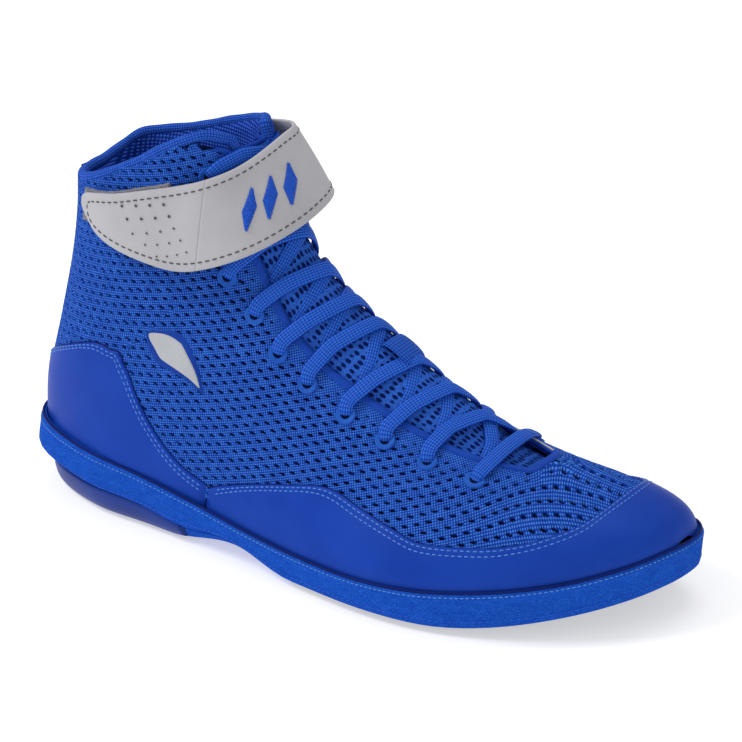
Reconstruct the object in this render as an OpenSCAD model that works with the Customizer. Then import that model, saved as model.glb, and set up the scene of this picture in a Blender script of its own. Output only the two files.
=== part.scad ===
// High-top boxing boot for the right foot: lasted mesh upper with smooth overlays, napped suede
// rand, split rubber outsole, one lace through ten eyelets a side, and a wrap-round ankle strap.
//
// Shapes are written in last coordinates, in millimetres: x forward from the back of the heel,
// y towards the inner (medial) side, z up from the ground. in_frame() moves the origin to the
// ground under the middle of the heel. The upper is one surface, skin(u, w): u counts stations
// from the toe tip (0) over the heel corner (13) to the collar (18), and w runs round a section
// from the outer feather edge (-1) over the centre line (0) to the inner feather edge (1).

/* [Upper] */
// Thickness of the mesh upper
mesh_t = 1.6; // [1.2:0.1:1.8]
// Thickness of the smooth heel and forefoot overlays
overlay_t = 1.0; // [0.6:0.1:1.1]
// Thickness of the knit lining
lining_t = 1.0; // [0.6:0.1:1.2]
// Thickness of the padding round the collar
padding_t = 3.0; // [1.5:0.5:3.5]
// Thickness of the tongue
tongue_t = 2.0; // [1.4:0.2:2.4]
// Radius of the binding rolled over the collar edge
binding_r = 1.7; // [1.2:0.1:1.8]
// Clearance between neighbouring layers
layer_gap = 0.15; // [0.1:0.05:0.2]

/* [Lacing] */
// Radius of the tube that stands for the flattened lace
lace_r = 1.15; // [0.9:0.05:1.2]
// Radius of the hole in an eyelet
eyelet_hole_r = 1.9; // [1.7:0.1:2.1]
// Outer radius of an eyelet ring
eyelet_r = 3.9; // [3.2:0.1:4.2]
// Thickness of an eyelet ring
eyelet_t = 0.6; // [0.4:0.1:0.8]

/* [Strap] */
// Thickness of the ankle strap
strap_t = 1.6; // [1.2:0.1:1.8]
// Thickness of the hook tape and of the loop patch
tape_t = 0.8; // [0.5:0.1:0.9]
// Gap between two parts of the strap at a fold
fold_gap = 0.4; // [0.3:0.1:0.6]

/* [Sole] */
// Thickness of the suede rand
rand_t = 1.4; // [1.0:0.1:1.6]
// Radius of the piping above the rand
piping_r = 0.9; // [0.7:0.1:1.0]
// Thickness of the flat tread blocks
tread_t = 1.2; // [1.0:0.1:1.4]
// Width of a groove across the tread
groove_w = 1.6; // [1.0:0.2:2.0]
// Number of grooves across a tread block
groove_count = 5; // [3:1:6]

/* [Hidden] */

origin_x = 38;          // the origin's distance from the back of the heel
heel_station = 13;      // where the feather edge turns up into the back seam
last_station = 18;      // the collar
step = 0.02;            // station step for slopes

// Feather edge, toe tip to heel corner on the outer side, then back along the inner side
feather = [[286, 15], [283, 2], [274.5, -14], [259, -30], [237, -43.5], [211, -51.5],
    [185, -52], [158, -47.5], [130, -41.5], [101, -36.5], [72, -33.5], [43, -31.5],
    [15.3, -19.3], [5.5, 0], [14.2, 18.2], [43, 28.5], [70, 30], [98, 31], [126, 34], [154, 39.5],
    [182, 45.5], [210, 48.5], [237, 47.5], [262, 42.5], [277, 35.5], [285, 26]];
feather_z = [27, 26, 23, 19.5, 15.5, 12.5, 11.5, 11, 12.5, 14.5, 16.5, 17.5, 18, 18];
// Back seam, heel corner to collar
back_seam = [[5.5, 0, 18], [8, 0, 45], [15.5, 0, 73], [22.5, 0, 100], [27, 0, 121], [29, 0, 137]];
// Centre line, toe tip to collar
centre_line = [[286, 15, 27], [284, 15, 34], [279, 15, 39], [269, 14, 43], [253, 13, 46.5],
    [234, 11, 50.5], [213, 8.5, 57.5], [193, 6, 66.5], [173, 4, 77], [154, 2.5, 89],
    [140, 1, 100.5], [131, 0, 111.5], [125, 0, 121], [120.5, 0, 129.5], [116.5, 0, 138],
    [112.5, 0, 146], [109, 0, 153.5], [106, 0, 160], [103.5, 0, 165]];
// Half widths of the sections, outer side and inner side, and how square each section is
width_lateral = [0.5, 13.5, 29.5, 44.5, 57, 63, 61, 54, 46, 39.5, 36, 34, 31.5, 30.5, 30.5,
    30.5, 30.5, 30.5, 30.5];
width_medial = [0.5, 11.5, 21, 29, 35, 38, 37.5, 34, 31, 30, 30.5, 31, 30.5, 30.5, 30.5, 30.5,
    30.5, 30.5, 30.5];
fullness = [2, 2, 2, 2, 1.95, 1.9, 1.85, 1.8, 1.85, 1.95, 2, 2, 2, 2, 2.1, 2.15, 2.2, 2.4, 2.6];

// Places across a section, |w|: the eyestay edge from station 5, the quarter's lower edge from 9
eyestay_edge = [0.1, 0.2, 0.25, 0.28, 0.3, 0.28, 0.25, 0.2, 0.17, 0.16, 0.15, 0.14, 0.14, 0.24];
quarter_low = [1, 0.9, 0.82, 0.69, 0.6, 0.74, 1.05];
throat_station = 5.2;
tongue_top = 16.8;
rim_station = 17.7;

// Eyelets: station and place across
eyelets = [[5.75, 0.3], [6.6, 0.34], [7.4, 0.37], [8.2, 0.39], [9.05, 0.4], [9.9, 0.38],
    [11, 0.34], [12.6, 0.27], [14.5, 0.25], [16.3, 0.24]];

// Layers, as distances out from skin()
overlay_in = layer_gap;
overlay_out = overlay_in + overlay_t;
lining_out = -mesh_t - layer_gap;
lining_in = lining_out - lining_t;
padding_out = lining_in - 2 * layer_gap;
lace_in = padding_out - lace_r;
tongue_out = lace_in - lace_r - layer_gap;
lace_out = overlay_out + eyelet_t + lace_r;
eyelet_in = 0.4;

// ---------- curves ----------
function spline_point(a, b, c, d, f) =
    0.5 * (2 * b + (c - a) * f + (2 * a - 5 * b + 4 * c - d) * f * f
        + (3 * b - a - 3 * c + d) * f * f * f);
function entry(table, i) =
    i < 0 ? 2 * table[0] - table[1]
    : i >= len(table) ? 2 * table[len(table) - 1] - table[len(table) - 2] : table[i];
function spline(table, t) =
    let (i = min(max(floor(t), 0), len(table) - 2))
    spline_point(entry(table, i - 1), table[i], table[i + 1], entry(table, i + 2), t - i);
function loop_spline(table, t) =
    let (n = len(table), i = floor(t))
    spline_point(table[(i + n - 1) % n], table[(i + n) % n], table[(i + n + 1) % n],
        table[(i + n + 2) % n], t - i);
function unit(v) = v / norm(v);
// Rows of the outer side, then the same rows in reverse on the inner side; the last row is shared
function two_sided(rows) =
    concat([for (row = rows) [for (q = row) [q[0], -q[1]]]],
        [for (i = [len(rows) - 2:-1:0]) rows[i]]);

// ---------- the lasted surface ----------
function foot(u, side) =
    u < heel_station
    ? let (q = loop_spline(feather, side < 0 ? u : len(feather) - u))
        [q[0], q[1], spline(feather_z, u)]
    : spline(back_seam, u - heel_station);
function skin(u, w) =
    let (side = w < 0 ? -1 : 1, base = foot(u, side), top = spline(centre_line, u),
        width = spline(side < 0 ? width_lateral : width_medial, u),
        power = 2 / spline(fullness, u),
        half = u < heel_station ? min(abs(base[1] - top[1]), 0.999 * width) : 0,
        start = asin(half / width), angle = start + (180 - start) * (1 - abs(w)),
        out = pow(abs(sin(angle)), power),
        along = sign(cos(angle)) * pow(abs(cos(angle)), power),
        first_out = pow(sin(start), power), first_along = pow(cos(start), power),
        s = (first_along - along) / (first_along + 1))
    [base[0] + (top[0] - base[0]) * s,
        top[1] + side * (width * out + (half - width * first_out) * (1 - s)),
        base[2] + (top[2] - base[2]) * s];
function round_section(u, w) =
    u < heel_station ? min(max(w, -1), 1) : w < -1 ? w + 2 : w > 1 ? w - 2 : w;
function normal(u, w) =
    unit(cross(skin(u, round_section(u, w + step)) - skin(u, round_section(u, w - step)),
        skin(u + step, w) - skin(max(u - step, 0), w)));
function at(u, w, out) = skin(u, w) + normal(u, w) * out;

function eyestay(u) = spline(eyestay_edge, u - 5);
function quarter_foot(u) = spline(quarter_low, u - 9);

// ---------- the sole's outline and levels ----------
function station(t) = t <= heel_station ? t : len(feather) - t;
function outline(t, out) =
    let (d = loop_spline(feather, t + step) - loop_spline(feather, t - step))
    loop_spline(feather, t) + unit([-d[1], d[0]]) * out;
// How far the heel's lower edge is tucked in
heel_tuck = [0, 0, 0, 0, 0, 0, 0, 0, 0, 0, 0.5, 2.4, 4, 4.5];
function tuck(t) = spline(heel_tuck, station(t));
// Underside of the suede and pods: rounded heel, arch, flat ball and toe spring
function under(x) =
    x < 22 ? 7.5 * (1 - sqrt(1 - pow(min(22 - x, 21.5) / 22, 2)))
    : x < 84 ? 0
    : x < 118 ? 2.6 * (1 - cos(180 * (x - 84) / 34))
    : x < 152 ? 2.6 * (1 + cos(180 * (x - 118) / 34))
    : x < 212 ? 0
    : 14 * pow((x - 212) / 78, 1.6);
function board_z(t) = spline(feather_z, station(t));
// Ring of points round the outline, at one height over the underside
function ring(ts, out, rise) =
    [for (t = ts) let (q = outline(t, out - tuck(t))) [q[0], q[1], under(q[0]) + rise]];
function stations(first, last, count) =
    [for (i = [0:count]) first + (last - first) * i / count];
function both_sides(ts) =
    concat(ts, [for (i = [len(ts) - 1:-1:0]) len(feather) - ts[i]]);
whole_sole = both_sides(stations(0.08, 12.92, 26));
heel_part = both_sides(stations(9.3, 12.92, 10));
arch_part = both_sides(stations(7.35, 9.25, 5));
ball_part = both_sides(stations(0.08, 7.3, 16));

// ---------- solids from points ----------
function six_volumes(points, faces) =
    [for (f = faces) points[f[0]] * cross(points[f[1]], points[f[2]])]
    * [for (f = faces) 1];
module solid(points, faces) {
    inward = six_volumes(points, faces) < 0;
    polyhedron(points, inward ? faces : [for (f = faces) [f[2], f[1], f[0]]]);
}
function quad(a, b, c, d) = [[a, b, c], [a, c, d]];
function ladder(first, m) =
    [for (k = [0:m / 2 - 2]) each quad(first + k, first + k + 1, first + m - 2 - k,
        first + m - 1 - k)];
function flipped(faces) = [for (f = faces) [f[2], f[1], f[0]]];

// Rings of points joined into a tube, closed into a band or capped at both ends
module sweep(rings, closed = false) {
    n = len(rings);
    m = len(rings[0]);
    walls = [for (i = [0:closed ? n - 1 : n - 2]) for (j = [0:m - 1])
        each quad(i * m + j, i * m + (j + 1) % m, ((i + 1) % n) * m + (j + 1) % m,
            ((i + 1) % n) * m + j)];
    caps = closed ? [] : concat(flipped(ladder(0, m)), ladder((n - 1) * m, m));
    solid([for (r = rings) each r], concat(walls, caps));
}

// Round tube through a list of points
function tube_rings(path, r, sides) =
    let (last = len(path) - 1)
    [for (i = [0:last])
        let (along = unit(path[min(i + 1, last)] - path[max(i - 1, 0)]),
            across = unit(cross(along, abs(along[1]) < 0.9 ? [0, 1, 0] : [1, 0, 0])),
            third = cross(along, across))
        [for (k = [0:sides - 1]) let (a = 360 * (k + 0.5) / sides)
            path[i] + r * (across * cos(a) + third * sin(a))]];

// Grid of [u, w] places between two edges that have the same number of knots
function patch(edge_a, edge_b, rows, cols) =
    [for (i = [0:rows])
        let (t = i * (len(edge_a) - 1) / rows, a = spline(edge_a, t), b = spline(edge_b, t))
        [for (j = [0:cols]) a + (b - a) * j / cols]];

// Closed shell over a grid of places, between two distances out from the lasted surface
module shell(grid, inner, outer) {
    rows = len(grid);
    cols = len(grid[0]);
    layer = rows * cols;
    rim = concat([for (j = [0:cols - 2]) j], [for (i = [0:rows - 2]) i * cols + cols - 1],
        [for (j = [cols - 1:-1:1]) (rows - 1) * cols + j],
        [for (i = [rows - 1:-1:1]) i * cols]);
    outside = [for (i = [0:rows - 2]) for (j = [0:cols - 2])
        each quad(i * cols + j, i * cols + j + 1, (i + 1) * cols + j + 1, (i + 1) * cols + j)];
    inside = [for (f = outside) [f[2] + layer, f[1] + layer, f[0] + layer]];
    walls = [for (k = [0:len(rim) - 1]) let (a = rim[k], b = rim[(k + 1) % len(rim)])
        each quad(a, a + layer, b + layer, b)];
    solid(concat([for (row = grid) for (q = row) at(q[0], q[1], outer)],
        [for (row = grid) for (q = row) at(q[0], q[1], inner)]),
        concat(outside, inside, walls));
}

module in_frame() {
    translate([-origin_x, 0, 0]) children();
}

// ---------- sole ----------
module tread(first_x, last_x, outline_ts, inset) {
    pitch = (last_x - first_x) / (groove_count + 1);
    color("midnightblue") in_frame() difference() {
        linear_extrude(tread_t) intersection() {
            polygon([for (t = outline_ts) outline(t, -inset - tuck(t))]);
            translate([first_x, -60]) square([last_x - first_x, 120]);
        }
        for (i = [1:groove_count])
            translate([first_x + i * pitch - groove_w / 2, -60, -tread_t / 2])
                cube([groove_w, 120, tread_t]);
    }
}
module heel_tread() tread(24, 82, both_sides(stations(9.3, 12.92, 14)), 6);
module forefoot_tread() tread(154, 210, both_sides(stations(4.6, 7.4, 8)), 6);

// Height of the rand's lower edge over the treads, at each station
rand_lift = [2, 2, 2, 2, 2, 2, 2, 2, 2.2, 4.5, 9.6, 10.8, 11, 11];
function lift(t) = spline(rand_lift, station(t));
// Rings round part of the outline; a level is [distance outside the edge, share of the lift]
function lifted(ts, levels) = [for (c = levels) [for (t = ts) let (q = outline(t, c[0] - tuck(t)))
    [q[0], q[1], under(q[0]) + tread_t + c[1] * (lift(t) - 0.2)]]];
module heel_pod() {
    color("mediumblue") in_frame() sweep(lifted(heel_part,
        [[-5, 0], [-1.6, 0.1], [0.4, 0.3], [1.6, 0.65], [1.9, 1]]));
}
module forefoot_pod() {
    color("midnightblue") in_frame() sweep([
        ring(ball_part, -4, tread_t),
        ring(ball_part, -0.4, tread_t + 0.8),
        ring(ball_part, 0, tread_t + 1.6)]);
}
module suede_arch() {
    color("royalblue") in_frame() sweep(lifted(arch_part, [[-2, 0], [0.6, 0.6], [0.9, 0.78]]));
}
module midsole() {
    color("slategray") in_frame() sweep([
        [for (t = whole_sole) let (q = outline(t, -1 - tuck(t)), back = t > 9.25 && t < 16.75)
            [q[0], q[1], under(q[0]) + tread_t + lift(t) + (back ? 0.5 : -0.2)]],
        [for (t = whole_sole) let (q = outline(t, 0.2 - 0.8 * tuck(t))) [q[0], q[1], board_z(t) - 2.4]]]);
}
// The rand's outer wall leans in towards the ground at the heel and follows the upper at the top
rand_top = [28.8, 28.6, 26.8, 23.4, 19.8, 16.6, 14.6, 14.2, 15.5, 19.5, 24, 28, 30, 30];
rand_flare = [0, 0.1, 0.9, 1.4, 1.3, 0.8, 0.3, 0, 0, 0.3, 0.5, 0.2, -0.6, -0.6];
module suede_rand() {
    ts = [for (i = [0:51]) i / 2];
    color("dodgerblue") in_frame() sweep([for (t = ts)
        let (s = station(t), top = spline(rand_top, s), flare = spline(rand_flare, s),
            face = overlay_out + 3 * layer_gap, side = outline(t, 0),
            low = under(side[0]) + tread_t + lift(t), in = tuck(t))
        [for (c = [
            [flare + face, top], [flare + face + rand_t, top - 0.6],
            [face + rand_t + 0.4, board_z(t)], [face + rand_t - 0.6 - in, low + 0.6],
            [0.9 - in, low], [0.9 - in, low + rand_t], [face, board_z(t)]])
            let (q = outline(t, c[0])) [q[0], q[1], c[1]]]], closed = true);
}
module rand_piping() {
    ts = [for (i = [0:51]) i / 2];
    color("midnightblue") in_frame() sweep([for (t = ts)
        let (s = station(t), top = spline(rand_top, s), flare = spline(rand_flare, s),
            mid = overlay_out + 3 * layer_gap + piping_r)
        [for (k = [0:5]) let (q = outline(t, flare + mid + piping_r * cos(60 * k)))
            [q[0], q[1], top + layer_gap + piping_r * (1 + sin(60 * k))]]], closed = true);
}
module insole_board() {
    color("tan") in_frame() sweep([
        [for (t = whole_sole) let (q = outline(t, -2.6 - 0.3 * tuck(t))) [q[0], q[1], board_z(t) - 2.2]],
        [for (t = whole_sole) let (q = outline(t, -2.6 - 0.1 * tuck(t))) [q[0], q[1], board_z(t) - 0.9]]]);
}
module sockliner() {
    color("navy") in_frame() sweep([
        [for (t = whole_sole) let (q = outline(t, -5)) [q[0], q[1], board_z(t) - 0.7]],
        [for (t = whole_sole) let (q = outline(t, -7)) [q[0], q[1], board_z(t) + 2.6]]]);
}

// ---------- upper ----------
// Grid of one quarter, from its lower edge to the eyestay edge
function quarter(side, rows, cols, lower) =
    [for (i = [0:rows]) let (u = throat_station + 0.05
            + (rim_station - throat_station - 0.05) * i / rows,
            low = !lower || u < 9 || u > 15 ? 1 : min(1, quarter_foot(u)))
        [for (j = [0:cols]) [u, side * (low + (eyestay(u) - low) * j / cols)]]];
function vamp(rows, cols) =
    [for (i = [0:rows]) [for (j = [0:cols])
        [0.4 + (throat_station - 0.4) * i / rows, -0.995 + 1.99 * j / cols]]];
module eyelet_places(side) {
    for (e = eyelets) {
        out = normal(e[0], side * e[1]);
        translate(skin(e[0], side * e[1]))
            rotate([0, acos(out[2]), atan2(out[1], out[0])]) children();
    }
}
module pierced(side) {
    difference() {
        children();
        eyelet_places(side) translate([0, 0, lining_in - 1])
            cylinder(r = eyelet_hole_r, h = 6, $fn = 14);
    }
}
module quarter_mesh(side) {
    color("cornflowerblue") in_frame() pierced(side)
        shell(quarter(side, 30, 14, true), -mesh_t, 0);
}
module quarter_lining(side) {
    color("darkblue") in_frame() pierced(side)
        shell(quarter(side, 30, 14, false), lining_in, lining_out);
}
module vamp_mesh() {
    color("cornflowerblue") in_frame() shell(vamp(13, 26), -mesh_t, 0);
}
module quarter_mesh_lateral() quarter_mesh(-1);
module quarter_mesh_medial() quarter_mesh(1);
module vamp_lining() {
    color("darkblue") in_frame() shell(vamp(10, 20), lining_in, lining_out);
}
module quarter_lining_lateral() quarter_lining(-1);
module quarter_lining_medial() quarter_lining(1);

forefoot_low = [[8.92, 1], [8.2, 1], [7.4, 1], [6.6, 1], [5.8, 1], [5, 1], [4.2, 1], [3.3, 1],
    [2.4, 1], [1.4, 1], [0.6, 0.9], [0.4, 0]];
forefoot_high = [[9.18, 0.885], [8.11, 0.71], [7.5, 0.63], [6.75, 0.63], [6.17, 0.64],
    [5.65, 0.65], [5.03, 0.61], [4.48, 0.57], [3.98, 0.49], [3.57, 0.36], [3.43, 0.19],
    [3.42, 0]];
module forefoot_overlay() {
    color("mediumblue") in_frame()
        shell(two_sided(patch(forefoot_low, forefoot_high, 28, 6)), overlay_in, overlay_out);
}
// The two halves of the heel overlay meet on the back seam, where w is -1 and 1 at once
heel_low = [[8.95, 1], [9.3, 1], [9.75, 1], [10.25, 1], [10.6, 1], [10.95, 1], [11.35, 1], [11.6, 1],
    [11.9, 1], [12.2, 1], [12.5, 1], [12.8, 1], [12.9, 1], [13, 1]];
heel_high = [[9.2, 0.88], [9.7, 0.86], [10.3, 0.815], [10.9, 0.76], [11.4, 0.7], [11.9, 0.637],
    [12.5, 0.571], [12.99, 0.517], [13.3, 0.538], [13.7, 0.577], [14, 0.64], [14.25, 0.74],
    [14.35, 0.86], [14.4, 1]];
counter_low = [[9.9, 1], [10.3, 1], [10.8, 1], [11.3, 1], [11.8, 1], [12.3, 1], [12.8, 1],
    [13, 1]];
counter_high = [[10.1, 0.93], [10.6, 0.88], [11.2, 0.84], [11.9, 0.75], [12.8, 0.65],
    [13.4, 0.69], [13.9, 0.82], [14.1, 1]];
module heel_overlay() {
    color("mediumblue") in_frame()
        shell(two_sided(patch(heel_low, heel_high, 26, 8)), overlay_in, overlay_out);
}
module heel_counter() {
    color("dimgray") in_frame()
        shell(two_sided(patch(counter_low, counter_high, 14, 6)), -mesh_t + 2 * layer_gap, 0);
}

function collar_row(w) = [for (u = [15.7, 16.3, 17, 17.55]) [u, w]];
module collar_padding() {
    color("navy") in_frame() shell([for (i = [0:24]) let (w = -0.42 - 1.16 * i / 24)
        [for (q = collar_row(w)) [q[0], w < -1 ? w + 2 : w]]], padding_out - padding_t,
        padding_out);
}
module collar_binding() {
    front = [[16.9, 0.1], [17.5, 0.11], [18, 0.17]];
    half = concat(front, [for (i = [0:13]) [18.1 - 0.24 * i / 13, 0.26 + 0.74 * i / 13]]);
    color("royalblue") in_frame() sweep(tube_rings([for (row = two_sided([for (q = half) [q]]))
        at(row[0][0], row[0][1], -mesh_t)], binding_r, 8));
}
module tongue() {
    color("navy") in_frame() shell([for (i = [0:24])
        let (u = 4.8 + (tongue_top - 4.8) * i / 24, half = eyestay(max(u, 5)) + 0.1)
        [for (j = [-3:3]) [u, half * j / 3]]], tongue_out - tongue_t, tongue_out);
}
// Webbing loop that the lace passes through, half way up the tongue
module tongue_loop() {
    half_w = 5;
    centre = at(8.3, 0, tongue_out + layer_gap);
    slope = atan2(centre_line[8][2] - centre_line[9][2], centre_line[8][0] - centre_line[9][0]);
    color("royalblue") in_frame() translate(centre) rotate([0, -slope, 0]) difference() {
        translate([-6, -half_w, 0]) cube([12, 2 * half_w, 2]);
        translate([-4.5, -half_w - 1, 0.8]) cube([9, 2 * half_w + 2, 0.7]);
    }
}
module eyelet_rings(side) {
    color("royalblue") in_frame() eyelet_places(side) translate([0, 0, eyelet_in])
        difference() {
            cylinder(r = eyelet_r, h = eyelet_t, $fn = 32);
            translate([0, 0, -1]) cylinder(r = eyelet_hole_r, h = eyelet_t + 2, $fn = 32);
        }
}
module eyelets_lateral() eyelet_rings(-1);
module eyelets_medial() eyelet_rings(1);

// ---------- lace ----------
// One half of the lace: from the first eyelet it crosses under one eyestay and over the other,
// into each next eyelet from outside. The halves pass each other over the tongue.
lane = [2, -0.9];
function crossing(k, side, height) =
    let (a = eyelets[k], b = eyelets[k + 1])
    [at(a[0], side * a[1], lace_in), at((a[0] + b[0]) / 2, 0, height),
        at(a[0] + (b[0] - a[0]) * 0.85, -side * (eyestay(b[0]) - 0.01), lace_out),
        at(b[0], -side * b[1], lace_out)];
function half_lace(first_side) =
    [for (k = [0:len(eyelets) - 2]) let (side = k % 2 == 0 ? first_side : -first_side)
        each crossing(k, side, side > 0 ? lane[0] : lane[1])];
// After the last eyelet each end is tucked down between the lining and the tongue
function tail_end(side) = [at(16.3, side * 0.24, lace_in), at(15.2, side * 0.3, lace_in)];
last_side = (len(eyelets) - 1) % 2 == 0 ? 1 : -1;
lace_route = concat(
    [for (i = [1:-1:0]) tail_end(-last_side)[i]],
    [let (h = half_lace(-1)) for (i = [len(h) - 1:-1:0]) h[i]],
    [at(5.75, -0.3, lace_out), at(5.75, 0, lace_out - 1), at(5.75, 0.3, lace_out)],
    half_lace(1), tail_end(last_side));
module lace() {
    color("royalblue") in_frame() sweep(tube_rings(lace_route, lace_r, 8));
}
module aglets() {
    color("steelblue") in_frame() for (side = [-1, 1])
        sweep(tube_rings([at(15.1, side * 0.305, lace_in), at(14.6, side * 0.32, lace_in - 0.2),
            at(14.1, side * 0.34, lace_in)], lace_r - 0.1, 8));
}

// ---------- strap ----------
// Lower and upper edge of the strap's outer face, from its sewn root on the inner side, round
// the front, to its rounded tail on the outer side
strap_low = [[62, 33.4, 119], [79, 34, 122], [98, 33.5, 127.5], [112, 29.5, 133],
    [123, 23.5, 137], [131, 16, 138.5], [133.5, 8, 137], [131.5, -4, 132.5],
    [126, -16, 127.5], [118, -25, 122.5], [108, -30.5, 118], [97.5, -33.5, 114.5],
    [87.5, -34.5, 113], [76, -35.2, 114], [63, -35.2, 116.5], [53, -33.8, 120],
    [45, -30.8, 125]];
strap_high = [[54, 32.2, 148], [70, 33.2, 152.5], [84, 31.5, 156], [95, 27.5, 159],
    [104, 23, 161.5], [111, 17.5, 163.5], [115, 11, 164], [115.5, 3, 163], [114, -6, 160],
    [111, -14, 156.5], [107, -21.5, 153.5], [99, -28, 150], [88, -31, 146.5],
    [76, -34, 143.5], [63, -35, 140], [53, -33.8, 138], [45, -30.8, 136]];
front_fold = 4;     // knot where the strap bends away from its sewn root
tip_fold = 12;      // knot where the tail peels off the loop patch
function strap_ring(t, shift) =
    let (low = spline(strap_low, t), high = spline(strap_high, t),
        along = unit(spline(strap_low, t + step) - spline(strap_low, t - step)
            + spline(strap_high, t + step) - spline(strap_high, t - step)),
        out = unit(cross(high - low, along)))
    [low + out * (shift - strap_t), high + out * (shift - strap_t), high + out * shift,
        low + out * shift];
module strap_part(first, last, rows) {
    color("silver") in_frame() sweep([for (i = [0:rows])
        strap_ring(first + (last - first) * i / rows, 0)]);
}
fold_step = fold_gap / 14 / 2;
module strap_base() strap_part(0, front_fold - fold_step, 8);
module strap_front() strap_part(front_fold + fold_step, tip_fold - fold_step, 18);
module strap_tip() strap_part(tip_fold + fold_step, 16, 10);
// A thin layer on the strap, between two knots and inside its edges
module strap_layer(first, last, rows, inner, outer, margin) {
    in_frame() sweep([for (i = [0:rows])
        let (t = first + (last - first) * i / rows, a = strap_ring(t, inner + strap_t),
            b = strap_ring(t, outer), rise = unit(a[1] - a[0]) * margin)
        [a[0] + rise, a[1] - rise, b[2] - rise, b[3] + rise]]);
}
module hook_tape() {
    color("darkgray") strap_layer(12.4, 15.4, 8, -strap_t - layer_gap - tape_t,
        -strap_t - layer_gap, 3);
}
module strap_motif() {
    color("royalblue") for (first = [7.05, 7.9, 8.75])
        strap_layer(first, first + 0.5, 3, layer_gap / 2, layer_gap / 2 + 0.5, 6);
}
module loop_patch() {
    color("gray") in_frame() shell(patch([[15.6, -0.37], [15.9, -0.48], [16.35, -0.59], [16.65, -0.7]],
        [[16.75, -0.37], [17.02, -0.48], [17.3, -0.58], [17.6, -0.68]], 8, 4),
        layer_gap, layer_gap + tape_t);
}
// Plain lozenge on the outer side of the quarter
mark_corners = [[12.9, -0.45], [11.6, -0.575], [10.5, -0.62], [11.55, -0.51]];
module side_mark() {
    color("lightgray") in_frame() shell([for (i = [0:8])
        let (share = 0.02 + 0.96 * i / 8, up = min(1, 2 * share), down = max(0, 2 * share - 1),
            a = mark_corners[0] + (mark_corners[1] - mark_corners[0]) * up
                + (mark_corners[2] - mark_corners[1]) * down,
            b = mark_corners[0] + (mark_corners[3] - mark_corners[0]) * up
                + (mark_corners[2] - mark_corners[3]) * down)
        [for (j = [0:2]) a + (b - a) * j / 2]], layer_gap, layer_gap + 0.5);
}

heel_tread();
forefoot_tread();
heel_pod();
forefoot_pod();
suede_arch();
midsole();
suede_rand();
rand_piping();
insole_board();
sockliner();
heel_counter();
vamp_mesh();
quarter_mesh_lateral();
quarter_mesh_medial();
vamp_lining();
quarter_lining_lateral();
quarter_lining_medial();
forefoot_overlay();
heel_overlay();
collar_padding();
collar_binding();
tongue();
tongue_loop();
eyelets_lateral();
eyelets_medial();
lace();
aglets();
loop_patch();
side_mark();
strap_base();
strap_front();
strap_tip();
hook_tape();
strap_motif();
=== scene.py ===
"""High-top boxing boot, right foot: the looks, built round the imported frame.

Shapes are worked out in last coordinates in millimetres, as in part.scad: x forward from the back
of the heel, y towards the inner side, z up from the ground. in_frame() turns them into the row
frame in metres. The upper is one surface, skin(u, w): u counts stations from the toe tip (0) over
the heel corner (13) to the collar (18), and w runs round a section from the outer feather edge (-1)
over the centre line (0) to the inner feather edge (1).
"""

import math

import bmesh
import bpy
import numpy as np
from mathutils import Matrix, Vector, kdtree


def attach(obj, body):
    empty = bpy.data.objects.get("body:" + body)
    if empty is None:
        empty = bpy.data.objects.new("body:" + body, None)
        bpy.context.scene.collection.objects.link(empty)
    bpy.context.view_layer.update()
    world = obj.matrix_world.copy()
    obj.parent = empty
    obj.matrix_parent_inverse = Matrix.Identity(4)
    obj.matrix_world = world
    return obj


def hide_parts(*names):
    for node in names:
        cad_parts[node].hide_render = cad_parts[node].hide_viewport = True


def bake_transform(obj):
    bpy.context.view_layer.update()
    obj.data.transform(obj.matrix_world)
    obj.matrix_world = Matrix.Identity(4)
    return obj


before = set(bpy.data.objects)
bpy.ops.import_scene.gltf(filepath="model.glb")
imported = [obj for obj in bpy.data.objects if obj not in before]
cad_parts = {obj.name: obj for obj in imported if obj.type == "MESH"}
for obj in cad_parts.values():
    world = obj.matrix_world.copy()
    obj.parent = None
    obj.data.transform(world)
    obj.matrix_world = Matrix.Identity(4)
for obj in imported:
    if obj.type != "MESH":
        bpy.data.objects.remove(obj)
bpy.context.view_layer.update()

MM = 0.001
ORIGIN_X = 38.0
HEEL_STATION = 13
STEP = 0.02

# ---------- tables of the lasted surface, as in part.scad ----------
FEATHER = np.array([[286, 15], [283, 2], [274.5, -14], [259, -30], [237, -43.5], [211, -51.5],
    [185, -52], [158, -47.5], [130, -41.5], [101, -36.5], [72, -33.5], [43, -31.5],
    [15.3, -19.3], [5.5, 0], [14.2, 18.2], [43, 28.5], [70, 30], [98, 31], [126, 34], [154, 39.5],
    [182, 45.5], [210, 48.5], [237, 47.5], [262, 42.5], [277, 35.5], [285, 26]])
FEATHER_Z = [27, 26, 23, 19.5, 15.5, 12.5, 11.5, 11, 12.5, 14.5, 16.5, 17.5, 18, 18]
BACK_SEAM = [[5.5, 0, 18], [8, 0, 45], [15.5, 0, 73], [22.5, 0, 100], [27, 0, 121], [29, 0, 137]]
CENTRE_LINE = [[286, 15, 27], [284, 15, 34], [279, 15, 39], [269, 14, 43], [253, 13, 46.5],
    [234, 11, 50.5], [213, 8.5, 57.5], [193, 6, 66.5], [173, 4, 77], [154, 2.5, 89],
    [140, 1, 100.5], [131, 0, 111.5], [125, 0, 121], [120.5, 0, 129.5], [116.5, 0, 138],
    [112.5, 0, 146], [109, 0, 153.5], [106, 0, 160], [103.5, 0, 165]]
WIDTH_LATERAL = [0.5, 13.5, 29.5, 44.5, 57, 63, 61, 54, 46, 39.5, 36, 34, 31.5, 30.5, 30.5,
    30.5, 30.5, 30.5, 30.5]
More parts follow.
